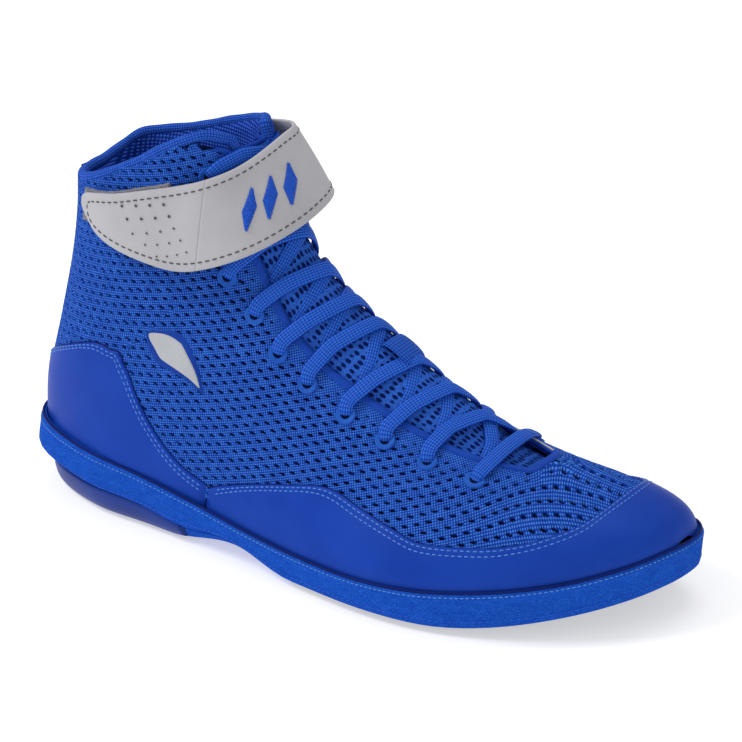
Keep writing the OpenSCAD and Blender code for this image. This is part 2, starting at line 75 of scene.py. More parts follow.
WIDTH_MEDIAL = [0.5, 11.5, 21, 29, 35, 38, 37.5, 34, 31, 30, 30.5, 31, 30.5, 30.5, 30.5, 30.5,
    30.5, 30.5, 30.5]
FULLNESS = [2, 2, 2, 2, 1.95, 1.9, 1.85, 1.8, 1.85, 1.95, 2, 2, 2, 2, 2.1, 2.15, 2.2, 2.4, 2.6]
EYESTAY_EDGE = [0.1, 0.2, 0.25, 0.28, 0.3, 0.28, 0.25, 0.2, 0.17, 0.16, 0.15, 0.14, 0.14, 0.24]
EYELETS = [[5.75, 0.3], [6.6, 0.34], [7.4, 0.37], [8.2, 0.39], [9.05, 0.4], [9.9, 0.38],
    [11, 0.34], [12.6, 0.27], [14.5, 0.25], [16.3, 0.24]]
HEEL_TUCK = [0, 0, 0, 0, 0, 0, 0, 0, 0, 0, 0.5, 2.4, 4, 4.5]
RAND_TOP = [28.8, 28.6, 26.8, 23.4, 19.8, 16.6, 14.6, 14.2, 15.5, 19.5, 24, 28, 30, 30]
RAND_FLARE = [0, 0.1, 0.9, 1.4, 1.3, 0.8, 0.3, 0, 0, 0.3, 0.5, 0.2, -0.6, -0.6]
RAND_LIFT = [2, 2, 2, 2, 2, 2, 2, 2, 2.2, 4.5, 9.6, 10.8, 11, 11]
FOREFOOT_LOW = [[8.92, 1], [8.2, 1], [7.4, 1], [6.6, 1], [5.8, 1], [5, 1], [4.2, 1], [3.3, 1],
    [2.4, 1], [1.4, 1], [0.6, 0.9], [0.4, 0]]
FOREFOOT_HIGH = [[9.18, 0.885], [8.11, 0.71], [7.5, 0.63], [6.75, 0.63], [6.17, 0.64],
    [5.65, 0.65], [5.03, 0.61], [4.48, 0.57], [3.98, 0.49], [3.57, 0.36], [3.43, 0.19],
    [3.42, 0]]
HEEL_LOW = [[8.95, 1], [9.3, 1], [9.75, 1], [10.25, 1], [10.6, 1], [10.95, 1], [11.35, 1], [11.6, 1],
    [11.9, 1], [12.2, 1], [12.5, 1], [12.8, 1], [12.9, 1], [13, 1]]
HEEL_HIGH = [[9.2, 0.88], [9.7, 0.86], [10.3, 0.815], [10.9, 0.76], [11.4, 0.7], [11.9, 0.637],
    [12.5, 0.571], [12.99, 0.517], [13.3, 0.538], [13.7, 0.577], [14, 0.64], [14.25, 0.74],
    [14.35, 0.86], [14.4, 1]]
STRAP_LOW = [[62, 33.4, 119], [79, 34, 122], [98, 33.5, 127.5], [112, 29.5, 133],
    [123, 23.5, 137], [131, 16, 138.5], [133.5, 8, 137], [131.5, -4, 132.5],
    [126, -16, 127.5], [118, -25, 122.5], [108, -30.5, 118], [97.5, -33.5, 114.5],
    [87.5, -34.5, 113], [76, -35.2, 114], [63, -35.2, 116.5], [53, -33.8, 120],
    [45, -30.8, 125]]
STRAP_HIGH = [[54, 32.2, 148], [70, 33.2, 152.5], [84, 31.5, 156], [95, 27.5, 159],
    [104, 23, 161.5], [111, 17.5, 163.5], [115, 11, 164], [115.5, 3, 163], [114, -6, 160],
    [111, -14, 156.5], [107, -21.5, 153.5], [99, -28, 150], [88, -31, 146.5],
    [76, -34, 143.5], [63, -35, 140], [53, -33.8, 138], [45, -30.8, 136]]
PATCH_LOW = [[15.6, -0.37], [15.9, -0.48], [16.35, -0.59], [16.65, -0.7]]
PATCH_HIGH = [[16.75, -0.37], [17.02, -0.48], [17.3, -0.58], [17.6, -0.68]]
MARK_CORNERS = [[12.9, -0.45], [11.6, -0.575], [10.5, -0.62], [11.55, -0.51]]

# Layers, as distances out from skin()
OVERLAY_OUT = 1.15
LACE_IN = -4.2
LACE_ON = 1.75      # the lace lying on the eyestay
TONGUE_OUT = -5.5
TREAD_T = 1.2
STRAP_T = 1.6


# ---------- curves and the surface ----------
def spline(table, t):
    table, t = np.asarray(table, float), np.asarray(t, float)
    ends = np.concatenate([[2 * table[0] - table[1]], table, [2 * table[-1] - table[-2]]])
    i = np.clip(np.floor(t).astype(int), 0, len(table) - 2)
    f = t - i
    if table.ndim > 1:
        f = f[..., None]
    return bend(ends[i], ends[i + 1], ends[i + 2], ends[i + 3], f)


def bend(a, b, c, d, f):
    """Catmull-Rom point between b and c."""
    return 0.5 * (2 * b + (c - a) * f + (2 * a - 5 * b + 4 * c - d) * f**2
        + (3 * b - a - 3 * c + d) * f**3)


def loop_spline(table, t):
    t = np.asarray(t, float)
    i = np.floor(t).astype(int)
    a, b, c, d = (table[(i + k) % len(table)] for k in (-1, 0, 1, 2))
    return bend(a, b, c, d, (t - i)[..., None])


def unit(v):
    return v / np.maximum(np.linalg.norm(v, axis=-1, keepdims=True), 1e-9)


def skin(u, w):
    u, w = np.broadcast_arrays(np.asarray(u, float), np.asarray(w, float))
    outer = w < 0
    low = u < HEEL_STATION
    flat = loop_spline(FEATHER, np.where(outer, u, len(FEATHER) - u))
    edge = np.concatenate([flat, spline(FEATHER_Z, u)[..., None]], -1)
    base = np.where(low[..., None], edge, spline(BACK_SEAM, u - HEEL_STATION))
    top = spline(CENTRE_LINE, u)
    width = np.where(outer, spline(WIDTH_LATERAL, u), spline(WIDTH_MEDIAL, u))
    power = 2 / spline(FULLNESS, u)
    half = np.where(low, np.minimum(abs(base[..., 1] - top[..., 1]), 0.999 * width), 0)
    start = np.arcsin(half / width)
    angle = start + (math.pi - start) * (1 - abs(w))
    out = abs(np.sin(angle)) ** power
    along = np.sign(np.cos(angle)) * abs(np.cos(angle)) ** power
    first_out = np.sin(start) ** power
    first_along = np.cos(start) ** power
    s = (first_along - along) / (first_along + 1)
    side = np.where(outer, -1.0, 1.0)
    x = base[..., 0] + (top[..., 0] - base[..., 0]) * s
    y = top[..., 1] + side * (width * out + (half - width * first_out) * (1 - s))
    z = base[..., 2] + (top[..., 2] - base[..., 2]) * s
    return np.stack([x, y, z], -1)


def normal(u, w):
    u, w = np.broadcast_arrays(np.asarray(u, float), np.asarray(w, float))

    def wrapped(v):
        return np.where(u < HEEL_STATION, np.clip(v, -1, 1), (v + 1) % 2 - 1)

    across = skin(u, wrapped(w + STEP)) - skin(u, wrapped(w - STEP))
    along = skin(u + STEP, w) - skin(np.maximum(u - STEP, 0), w)
    return unit(np.cross(across, along))


def at(u, w, out=0.0):
    """Point on the upper, out millimetres off the lasted surface."""
    return skin(u, w) + normal(u, w) * np.asarray(out, float)[..., None]


def eyestay(u):
    return spline(EYESTAY_EDGE, np.maximum(u, 5) - 5)


def station(t):
    return np.where(t <= HEEL_STATION, t, len(FEATHER) - t)


def outline(t, out):
    """Feather edge seen from above, out millimetres outside it."""
    d = loop_spline(FEATHER, t + STEP) - loop_spline(FEATHER, t - STEP)
    return loop_spline(FEATHER, t) + unit(np.stack([-d[..., 1], d[..., 0]], -1)) * np.asarray(out)[..., None]


def under(x):
    """Level of the underside: rounded heel, arch, flat ball and toe spring."""
    heel = 7.5 * (1 - np.sqrt(np.clip(1 - (np.clip(22 - x, 0, 21.5) / 22) ** 2, 0, 1)))
    arch = 2.6 * (1 - np.cos(np.clip((x - 84) / 34, 0, 2) * math.pi))
    toe = 14 * (np.clip(x - 212, 0, None) / 78) ** 1.6
    return heel + arch + toe


def strap_frame(t):
    """Low edge, high edge and outward direction of the strap's outer face at knot t."""
    low, high = spline(STRAP_LOW, t), spline(STRAP_HIGH, t)
    along = sum(spline(e, t + STEP) - spline(e, t - STEP) for e in (STRAP_LOW, STRAP_HIGH))
    return low, high, unit(np.cross(high - low, along))


# ---------- meshes ----------
def in_frame(points):
    return (np.asarray(points, float) - [ORIGIN_X, 0, 0]) * MM


def mesh(name, points, faces, uv=None, smooth=True):
    data = bpy.data.meshes.new(name)
    data.from_pydata(in_frame(points).tolist(), [], [list(map(int, f)) for f in faces])
    if uv is not None:
        corner = np.zeros(len(data.loops), np.int32)
        data.loops.foreach_get("vertex_index", corner)
        layer = data.uv_layers.new(name="cloth")
        layer.data.foreach_set("uv", (np.asarray(uv, float)[corner] * MM * 100).ravel())
    # large end faces stay flat, so they do not bend the shading of the walls round them
    data.polygons.foreach_set("use_smooth", [smooth and len(f) <= 12 for f in faces])
    data.update()
    obj = bpy.data.objects.new(name, data)
    bpy.context.scene.collection.objects.link(obj)
    return obj


def grid_faces(rows, cols, closed_rows=False, closed_cols=False):
    """Quads of a grid of rows by cols points."""
    i = np.arange(rows if closed_rows else rows - 1)[:, None]
    j = np.arange(cols if closed_cols else cols - 1)[None, :]
    i2, j2 = (i + 1) % rows, (j + 1) % cols
    corners = np.broadcast_arrays(i * cols + j, i * cols + j2, i2 * cols + j2, i2 * cols + j)
    return np.stack(corners, -1).reshape(-1, 4)


def distance_along(points):
    return np.concatenate([[0], np.cumsum(np.linalg.norm(np.diff(points, axis=0), axis=1))])


def grid_uv(points):
    """Cloth coordinates in millimetres of a grid of points: along its middle row and column."""
    rows, cols = points.shape[:2]
    along = distance_along(points[:, cols // 2])
    across = distance_along(points[rows // 2])
    return np.stack(np.meshgrid(along, across, indexing="ij"), -1).reshape(-1, 2)


def tidy(obj, merge=0.00002):
    """Welds touching points and makes the faces agree and look outwards."""
    work = bmesh.new()
    work.from_mesh(obj.data)
    bmesh.ops.remove_doubles(work, verts=work.verts, dist=merge)
    bmesh.ops.recalc_face_normals(work, faces=work.faces)
    work.to_mesh(obj.data)
    work.free()
    return obj


def apply(obj, kind, **values):
    """Adds a modifier and applies it."""
    modifier = obj.modifiers.new(kind.lower(), kind)
    for key, value in values.items():
        setattr(modifier, key, value)
    bpy.context.view_layer.update()
    evaluated = obj.evaluated_get(bpy.context.evaluated_depsgraph_get())
    result = bpy.data.meshes.new_from_object(evaluated)
    obj.modifiers.remove(modifier)
    obj.data = result
    return obj


def dress(obj, finish, body="boot", replaces=()):
    """Gives a piece its material, its body and the CAD nodes that it stands for."""
    obj.data.materials.clear()
    obj.data.materials.append(finish)
    if body:
        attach(obj, body)
    if replaces:
        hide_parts(*replaces)
    return obj


def sweep(rings, closed=False):
    """Points and faces of rings (n, m, 3) joined into a tube, with flat ends when it is open."""
    n, m = rings.shape[:2]
    faces = grid_faces(n, m, closed_rows=closed, closed_cols=True).tolist()
    if not closed:
        faces += [list(range(m))[::-1], list(range((n - 1) * m, n * m))]
    return rings.reshape(-1, 3), faces


def carried(along, closed):
    """A sideways direction carried along a path without twisting, met again at a closed path's end."""
    across = [unit(np.cross(along[0], np.eye(3)[np.argmin(abs(along[0]))]))]
    for direction in along[1:]:
        across.append(unit(across[-1] - direction * (across[-1] @ direction)))
    across = np.array(across)
    if closed:
        last = unit(across[-1] - along[0] * (across[-1] @ along[0]))
        twist = math.atan2(np.cross(last, across[0]) @ along[0], last @ across[0])
        turn = twist * np.linspace(0, 1, len(along))[:, None]
        across = across * np.cos(turn) + np.cross(along, across) * np.sin(turn)
    return across


def tube(path, radius, sides=8, closed=False):
    """Rings of a round tube; radius is one number or one for each point."""
    path = np.asarray(path, float)
    if closed:
        along = unit(np.roll(path, -1, 0) - np.roll(path, 1, 0))
    else:
        along = unit(np.gradient(path, axis=0))
    across = carried(along, closed)
    third = np.cross(along, across)
    a = np.arange(sides) / sides * 2 * math.pi
    r = np.broadcast_to(radius, len(path))[:, None, None]
    return path[:, None] + r * (across[:, None] * np.cos(a)[:, None] + third[:, None] * np.sin(a)[:, None])


def resample(path, pitch):
    """The path's points again, evenly pitch millimetres apart, with the pitch fitted to its length."""
    path = np.asarray(path, float)
    length = distance_along(path)
    count = max(2, int(round(length[-1] / pitch)) + 1)
    s = np.linspace(0, length[-1], count)
    return np.stack([np.interp(s, length, path[:, k]) for k in range(path.shape[1])], -1)


def stitches(name, seams, finish, pitch=2.6, length=1.7, radius=0.3, body="boot"):
    """Thread stitches, raised beads that follow each seam's path; a seam is (points, outward normals)."""
    points, faces, count = [], [], 0
    share = np.array([-0.5, -0.36, 0, 0.36, 0.5])
    swell = np.array([0.35, 0.85, 1.0, 0.85, 0.35])
    lift = np.array([-0.25, 0.05, 0.25, 0.05, -0.25])
    for path, normals in seams:
        both = resample(np.concatenate([path, normals], 1), pitch)
        middle, out = (both[:-1, :3] + both[1:, :3]) / 2, unit(both[:-1, 3:] + both[1:, 3:])
        along = unit(np.diff(both[:, :3], axis=0))
        side = unit(np.cross(out, along))
        for c, n, a, b in zip(middle, out, along, side):
            angle = np.arange(6) / 6 * 2 * math.pi
            ring = b * np.cos(angle)[:, None] + n * np.sin(angle)[:, None]
            rings = c + a * (share * length)[:, None, None] + n * (lift * radius)[:, None, None] \
                + ring[None] * (swell * radius)[:, None, None]
            p, f = sweep(rings)
            points.append(p)
            faces += [[k + count for k in face] for face in f]
            count += len(p)
    obj = mesh(name, np.concatenate(points), faces)
    return dress(obj, finish, body)


# ---------- materials ----------
def colour(red, green, blue):
    """Linear colour of an sRGB one, each 0 to 255."""
    return tuple(((c / 255 + 0.055) / 1.055) ** 2.4 if c > 10 else c / 255 / 12.92
        for c in (red, green, blue)) + (1.0,)


class Finish:
    """A node material under construction."""

    def __init__(self, name, roughness=0.6, sheen=0.0, specular=0.4):
        self.material = bpy.data.materials.new(name)
        self.material.use_nodes = True
        self.nodes = self.material.node_tree.nodes
        self.links = self.material.node_tree.links
        self.shader = self.nodes["Principled BSDF"]
        self.set(self.shader, Roughness=roughness, **{"Sheen Weight": sheen,
            "Sheen Roughness": 0.5, "Sheen Tint": colour(40, 110, 255), "Specular IOR Level": specular})
        self.place = self.nodes.new("ShaderNodeTexCoord")

    def set(self, node, **values):
        for key, value in values.items():
            if hasattr(value, "is_output"):
                self.links.new(value, node.inputs[key])
            else:
                node.inputs[key].default_value = value
        return node

    def where(self, space, scale):
        """Object or UV coordinates, scaled; scale is one number or three."""
        mapping = self.nodes.new("ShaderNodeMapping")
        size = scale if hasattr(scale, "__len__") else (scale,) * 3
        self.set(mapping, Vector=self.place.outputs[space], Scale=size)
        return mapping.outputs["Vector"]

    def noise(self, space, scale, detail=3.0, roughness=0.6):
        node = self.nodes.new("ShaderNodeTexNoise")
        self.set(node, Vector=self.where(space, scale), Scale=1.0, Detail=detail, Roughness=roughness)
        return node.outputs["Fac"]

    def cells(self, space, scale, feature="F1"):
        node = self.nodes.new("ShaderNodeTexVoronoi")
        node.feature = feature
        self.set(node, Vector=self.where(space, scale), Scale=1.0)
        return node.outputs["Distance"]

    def wave(self, space, scale, direction="X", distortion=0.0):
        node = self.nodes.new("ShaderNodeTexWave")
        node.bands_direction = direction
        self.set(node, Vector=self.where(space, scale), Scale=1.0, Distortion=distortion)
        return node.outputs["Fac"]

    def maths(self, operation, a, b=0.0):
        node = self.nodes.new("ShaderNodeMath")
        node.operation = operation
        for k, value in enumerate((a, b)):
            if hasattr(value, "is_output"):
                self.links.new(value, node.inputs[k])
            else:
                node.inputs[k].default_value = value
        return node.outputs[0]

    def ramp(self, fac, *stops):
        """Colour ramp; a stop is (place, colour)."""
        node = self.nodes.new("ShaderNodeValToRGB")
        while len(node.color_ramp.elements) < len(stops):
            node.color_ramp.elements.new(0.5)
        for element, (place, tint) in zip(node.color_ramp.elements, stops):
            element.position, element.color = place, tint
        self.links.new(fac, node.inputs["Fac"])
        return node.outputs["Color"]

    def paint(self, tint):
        self.set(self.shader, **{"Base Color": tint})
        return self

    def relief(self, *layers):
        """Bump layers, each (height, depth in millimetres, strength)."""
        last = None
        for height, depth, strength in layers:
            node = self.nodes.new("ShaderNodeBump")
            self.set(node, Height=height, Distance=depth * MM, Strength=strength)
            if last:
                self.links.new(last, node.inputs["Normal"])
            last = node.outputs["Normal"]
        self.links.new(last, self.shader.inputs["Normal"])
        return self


# Texture units a centimetre: cloth coordinates are in centimetres and object ones in metres
CENTIMETRE = {"UV": 1.0, "Object": 100.0}


def knit_finish(name, dark, mid, light, loops=1.15, bump=0.5, space="UV"):
    """Fine knit: rows of small loops in the cloth's own directions, speckled by the mixed yarn, with painted
    light on the loops' tops and painted shade in the hollows between them.
    """
    f = Finish(name, roughness=0.75, sheen=0.1, specular=0.05)
    cycle = CENTIMETRE[space] / loops * 1.6
    courses = f.wave(space, (cycle,) * 3, "Z" if space == "Object" else "Y", 0.6)
    wales = f.wave(space, (cycle,) * 3, "X", 0.6)
    loops_height = f.maths("MULTIPLY", courses, wales)
    speckle = f.noise("Object", 2200, 2)
    mottle = f.noise("Object", 260, 3)
    # tone: the loops' tops painted lighter and the hollows darker, as painted light and shade; the speckle
    # and mottle are the mixed yarn
    tone = f.maths("ADD", f.maths("MULTIPLY", loops_height, 0.6), f.maths("MULTIPLY", speckle, 0.4))
    tone = f.maths("ADD", tone, f.maths("MULTIPLY", f.maths("SUBTRACT", mottle, 0.5), 0.35))
    f.paint(f.ramp(tone, (0.2, dark), (0.4, mid), (0.62, light)))
    return f.relief((loops_height, 0.35, bump), (speckle, 0.15, bump)).material


def smooth_finish(name, tint, worn, roughness=0.42):
    """Smooth synthetic leather with a fine grain and soft cloudy wear."""
    f = Finish(name, roughness=roughness, specular=0.07)
    grain = f.cells("Object", 1500)
    cloud = f.noise("Object", 35, 4)
    f.paint(f.ramp(cloud, (0.35, tint), (0.75, worn)))
    f.set(f.shader, Roughness=f.maths("ADD", f.maths("MULTIPLY", cloud, 0.2), roughness - 0.08))
    return f.relief((grain, 0.12, 0.22), (cloud, 0.4, 0.12)).material


def suede_finish(name, dark, mid, light):
    """Napped suede: short fibres brushed into darker and lighter patches."""
    f = Finish(name, roughness=0.95, sheen=0.12, specular=0.03)
    nap = f.noise("Object", 1900, 3, 0.7)
    brushed = f.noise("Object", (160, 160, 420), 5, 0.7)
    tone = f.maths("ADD", f.maths("MULTIPLY", nap, 0.75), f.maths("MULTIPLY", brushed, 0.28))
    f.paint(f.ramp(tone, (0.32, dark), (0.52, mid), (0.72, light)))
    return f.relief((nap, 0.35, 0.8), (brushed, 0.6, 0.5)).material


def webbing_finish(name, dark, mid, light, ribs=0.8):
    """Woven tape: fine ribs along it and picks across it, in the tape's own directions, with painted shade in
    the grooves between them.
    """
    f = Finish(name, roughness=0.6, sheen=0.08, specular=0.1)
    rib = f.wave("UV", (1.6 / ribs,) * 3, "Y", 0.3)
    pick = f.wave("UV", (1.2 / ribs,) * 3, "X", 0.4)
    weave = f.maths("ADD", f.maths("MULTIPLY", rib, 0.6), f.maths("MULTIPLY", pick, 0.4))
    fuzz = f.noise("Object", 1800, 2)
    # tone follows the weave's height: painted shade in its grooves, with the fuzz as random tone
    tone = f.maths("ADD", f.maths("MULTIPLY", weave, 0.7), f.maths("MULTIPLY", fuzz, 0.3))
    f.paint(f.ramp(tone, (0.28, dark), (0.48, mid), (0.7, light)))
    return f.relief((weave, 0.25, 0.7), (fuzz, 0.1, 0.3)).material


def rubber_finish(name, tint, shade, roughness=0.45):
    f = Finish(name, roughness=roughness, specular=0.2)
    cloud = f.noise("Object", 60, 4)
    f.paint(f.ramp(cloud, (0.3, shade), (0.7, tint)))
    return f.relief((f.noise("Object", 1300, 2), 0.1, 0.25)).material


def thread_finish(name, tint, shade):
    f = Finish(name, roughness=0.5, specular=0.15)
    twist = f.noise("Object", 2600, 1)
    f.paint(f.ramp(twist, (0.3, shade), (0.7, tint)))
    return f.relief((twist, 0.08, 0.5)).material


def foam_finish(name, tint, shade):
    f = Finish(name, roughness=0.9, specular=0.2)
    pores = f.cells("Object", 900)
    # the pores are painted darker than the walls between them: painted shade in the pits
    f.paint(f.ramp(pores, (0.1, shade), (0.6, tint)))
    return f.relief((pores, 0.3, 0.6)).material


MESH_KNIT = knit_finish("mesh_knit", colour(14, 52, 144), colour(32, 84, 186), colour(78, 136, 228), 0.5, 0.8)
DENSE_KNIT = knit_finish("dense_knit", colour(18, 58, 136), colour(40, 92, 182), colour(72, 128, 214),
    0.8, 0.6)
# near-black knit: painted shade seen through the mesh holes and in the eyelet holes, laid on a real backing
# layer
PAINTED_SHADE_BACKING = knit_finish("painted_shade_backing_knit", colour(1, 10, 44), colour(3, 20, 66), colour(6, 32, 88), 1.2, 0.5)
LINING_KNIT = knit_finish("lining_knit", colour(10, 36, 118), colour(26, 62, 158), colour(50, 94, 196),
    0.6, 0.8)
OVERLAY = smooth_finish("smooth_overlay", colour(18, 58, 158), colour(24, 66, 168))
WELD = smooth_finish("welded_film", colour(18, 56, 146), colour(26, 68, 160), 0.5)
SUEDE = suede_finish("suede", colour(12, 54, 146), colour(24, 78, 182), colour(44, 108, 212))
PIPING = smooth_finish("piping", colour(8, 26, 92), colour(12, 34, 108), 0.55)
PAD_KNIT = knit_finish("pad_knit", colour(12, 40, 126), colour(28, 66, 166), colour(66, 112, 220),
    0.7, 0.6, "Object")
BINDING = knit_finish("binding_knit", colour(20, 56, 146), colour(36, 80, 180), colour(58, 106, 204),
    0.55, 0.35)
EDGE_TAPE = smooth_finish("edge_tape", colour(20, 62, 160), colour(28, 74, 174), 0.55)
LACE = webbing_finish("lace_weave", colour(14, 54, 150), colour(26, 78, 184), colour(48, 108, 212), 0.5)
LOOP_WEB = webbing_finish("loop_webbing", colour(10, 46, 128), colour(22, 72, 170), colour(40, 98, 200), 0.5)
STRAP = smooth_finish("strap_leather", colour(172, 171, 176), colour(182, 181, 186), 0.5)
FUZZ = suede_finish("loop_fuzz", colour(92, 91, 95), colour(132, 130, 136), colour(164, 162, 168))
HOOK = foam_finish("hook_tape", colour(84, 84, 88), colour(58, 58, 62))
MARK = smooth_finish("mark_film", colour(172, 174, 180), colour(186, 188, 194), 0.4)
EYELET = smooth_finish("eyelet_film", colour(30, 82, 176), colour(44, 100, 196), 0.45)
AGLET = smooth_finish("aglet_film", colour(60, 96, 160), colour(82, 120, 184), 0.3)
THREAD_LIGHT = thread_finish("thread_light", colour(96, 150, 224), colour(62, 116, 200))
THREAD_DARK = thread_finish("thread_dark", colour(92, 90, 98), colour(66, 64, 74))
THREAD_BLUE = thread_finish("thread_blue", colour(44, 104, 220), colour(20, 70, 180))
HEEL_RUBBER = rubber_finish("heel_rubber", colour(20, 54, 140), colour(12, 42, 120), 0.4)
FORE_RUBBER = rubber_finish("forefoot_rubber", colour(20, 38, 96), colour(14, 28, 78))
FOAM = foam_finish("midsole_foam", colour(90, 100, 130), colour(66, 76, 104))
BOARD = foam_finish("insole_board", colour(170, 148, 112), colour(140, 118, 86))


# ---------- camera, light, floor ----------
def camera():
    """A long lens on the photograph's side: 32 degrees round and 22.5 degrees above."""
    turn, rise, distance = math.radians(32), math.radians(22.5), 1.4
    target = Vector((0.102, 0, 0.080))
    back = Vector((math.sin(turn) * math.cos(rise), -math.cos(turn) * math.cos(rise), math.sin(rise)))
    right = Vector((math.cos(turn), math.sin(turn), 0))
    up = back.cross(right)
    eye = target + back * distance + right * 0.0143 - up * 0.0081
    data = bpy.data.cameras.new("camera")
    data.lens, data.sensor_width, data.clip_start = 175.6, 36, 0.1
    obj = bpy.data.objects.new("camera", data)
    bpy.context.scene.collection.objects.link(obj)
    obj.matrix_world = Matrix.Translation(eye) @ Matrix((right, up, back)).transposed().to_4x4()
    bpy.context.scene.camera = obj


def lamp(name, place, size, watts, target=(0.1, 0, 0.08)):
    data = bpy.data.lights.new(name, "AREA")
    data.shape, data.size, data.energy = "DISK", size, watts
    obj = bpy.data.objects.new(name, data)
    bpy.context.scene.collection.objects.link(obj)
    obj.location = place
    obj.rotation_euler = (Vector(target) - Vector(place)).to_track_quat("-Z", "Y").to_euler()


def studio():
    bpy.context.scene.view_settings.view_transform = "Standard"
    world = bpy.data.worlds.new("studio")
    world.use_nodes = True
    world.node_tree.nodes["Background"].inputs["Color"].default_value = (1, 1, 1, 1)
    world.node_tree.nodes["Background"].inputs["Strength"].default_value = 0.55
    bpy.context.scene.world = world
    lamp("key", (-0.9, -0.7, 1.3), 0.7, 14)
    lamp("fill", (1.1, -1.2, 0.8), 1.0, 2.5)
    lamp("top", (0.15, 0.5, 1.6), 0.9, 5)
    bpy.ops.mesh.primitive_plane_add(size=8, location=(0, 0, 0))
    floor = bpy.context.object
    floor.name = "floor"
    f = Finish("floor_paint", roughness=0.9, specular=0.0)
    f.set(f.shader, **{"Emission Color": (1, 1, 1, 1), "Emission Strength": 0.5})
    floor.data.materials.append(f.paint((0.7, 0.7, 0.7, 1)).material)


# ---------- the open mesh fabric ----------
CELL_W, CELL_H = 4.5, 3.45       # pitch of the holes along a row, and from row to row
HOLE_W, HOLE_H = 2.95, 1.25      # a lens-shaped hole
FABRIC_ROWS, FABRIC_COLS = 150, 121


def fabric_directions(u, w):
    """Directions of the cloth's rows and columns: rows run level round the boot."""
    out = normal(u, w)
    level = np.cross([0, 0, 1.0], out) * np.where(w < 0, 1, -1)[..., None]
    forward = np.array([1.0, 0, 0]) - out * out[..., :1]
    steep = np.clip((np.hypot(out[..., 0], out[..., 1]) - 0.15) / 0.35, 0, 1)[..., None]
    along = unit(unit(level) * steep + unit(forward) * (1 - steep))
    # the rows climb towards the throat, more so further forward
    climb = np.radians(np.clip(4 + 0.15 * (skin(u, w)[..., 0] - 40), 4, 20))[..., None] * steep
    rise = np.cross(out, along) * np.where(w < 0, 1, -1)[..., None]
    along = unit(along * np.cos(climb) + rise * np.sin(climb))
    return along, np.cross(out, along)


def solve_cloth(points, directions, held):
    """Cloth coordinate whose slope follows the directions, by least squares over the grid's edges."""
    edges = []
    for axis in (0, 1):
        span = np.diff(points, axis=axis)
        other = np.linalg.norm(np.gradient(points, axis=1 - axis), axis=-1)
        keep = [slice(None), slice(None)]
        keep[axis] = slice(1, None)
        first = [slice(None), slice(None)]
        first[axis] = slice(None, -1)
        keep, first = tuple(keep), tuple(first)
        target = ((directions[keep] + directions[first]) / 2 * span).sum(-1)
        weight = (other[keep] + other[first]) / 2 / np.maximum(np.linalg.norm(span, axis=-1), 0.05)
        edges.append((axis, keep, first, target, weight * (held[keep] + held[first]) / 2))

    def gather(values):
        total = np.zeros(points.shape[:2])
        for (axis, keep, first, _, _), v in zip(edges, values):
            total[keep] += v
            total[first] -= v
        return total

    def product(x):
        return gather([weight * (x[keep] - x[first]) for _, keep, first, _, weight in edges]) + 1e-7 * x

    wanted = gather([weight * target for *_, target, weight in edges])
    x = np.zeros(points.shape[:2])
    r = wanted - product(x)
    scale = 1 / np.maximum(gather_diagonal(points.shape[:2], edges), 1e-6)
    z = r * scale
    p, rz = z, (r * z).sum()
    for _ in range(3000):
        ap = product(p)
        alpha = rz / (p * ap).sum()
        x, r = x + alpha * p, r - alpha * ap
        z = r * scale
        previous, rz = rz, (r * z).sum()
        if rz < 1e-7:
            break
        p = z + p * rz / previous
    return x


def gather_diagonal(shape, edges):
    total = np.zeros(shape)
    for _, keep, first, _, weight in edges:
        total[keep] += weight
        total[first] += weight
    return total


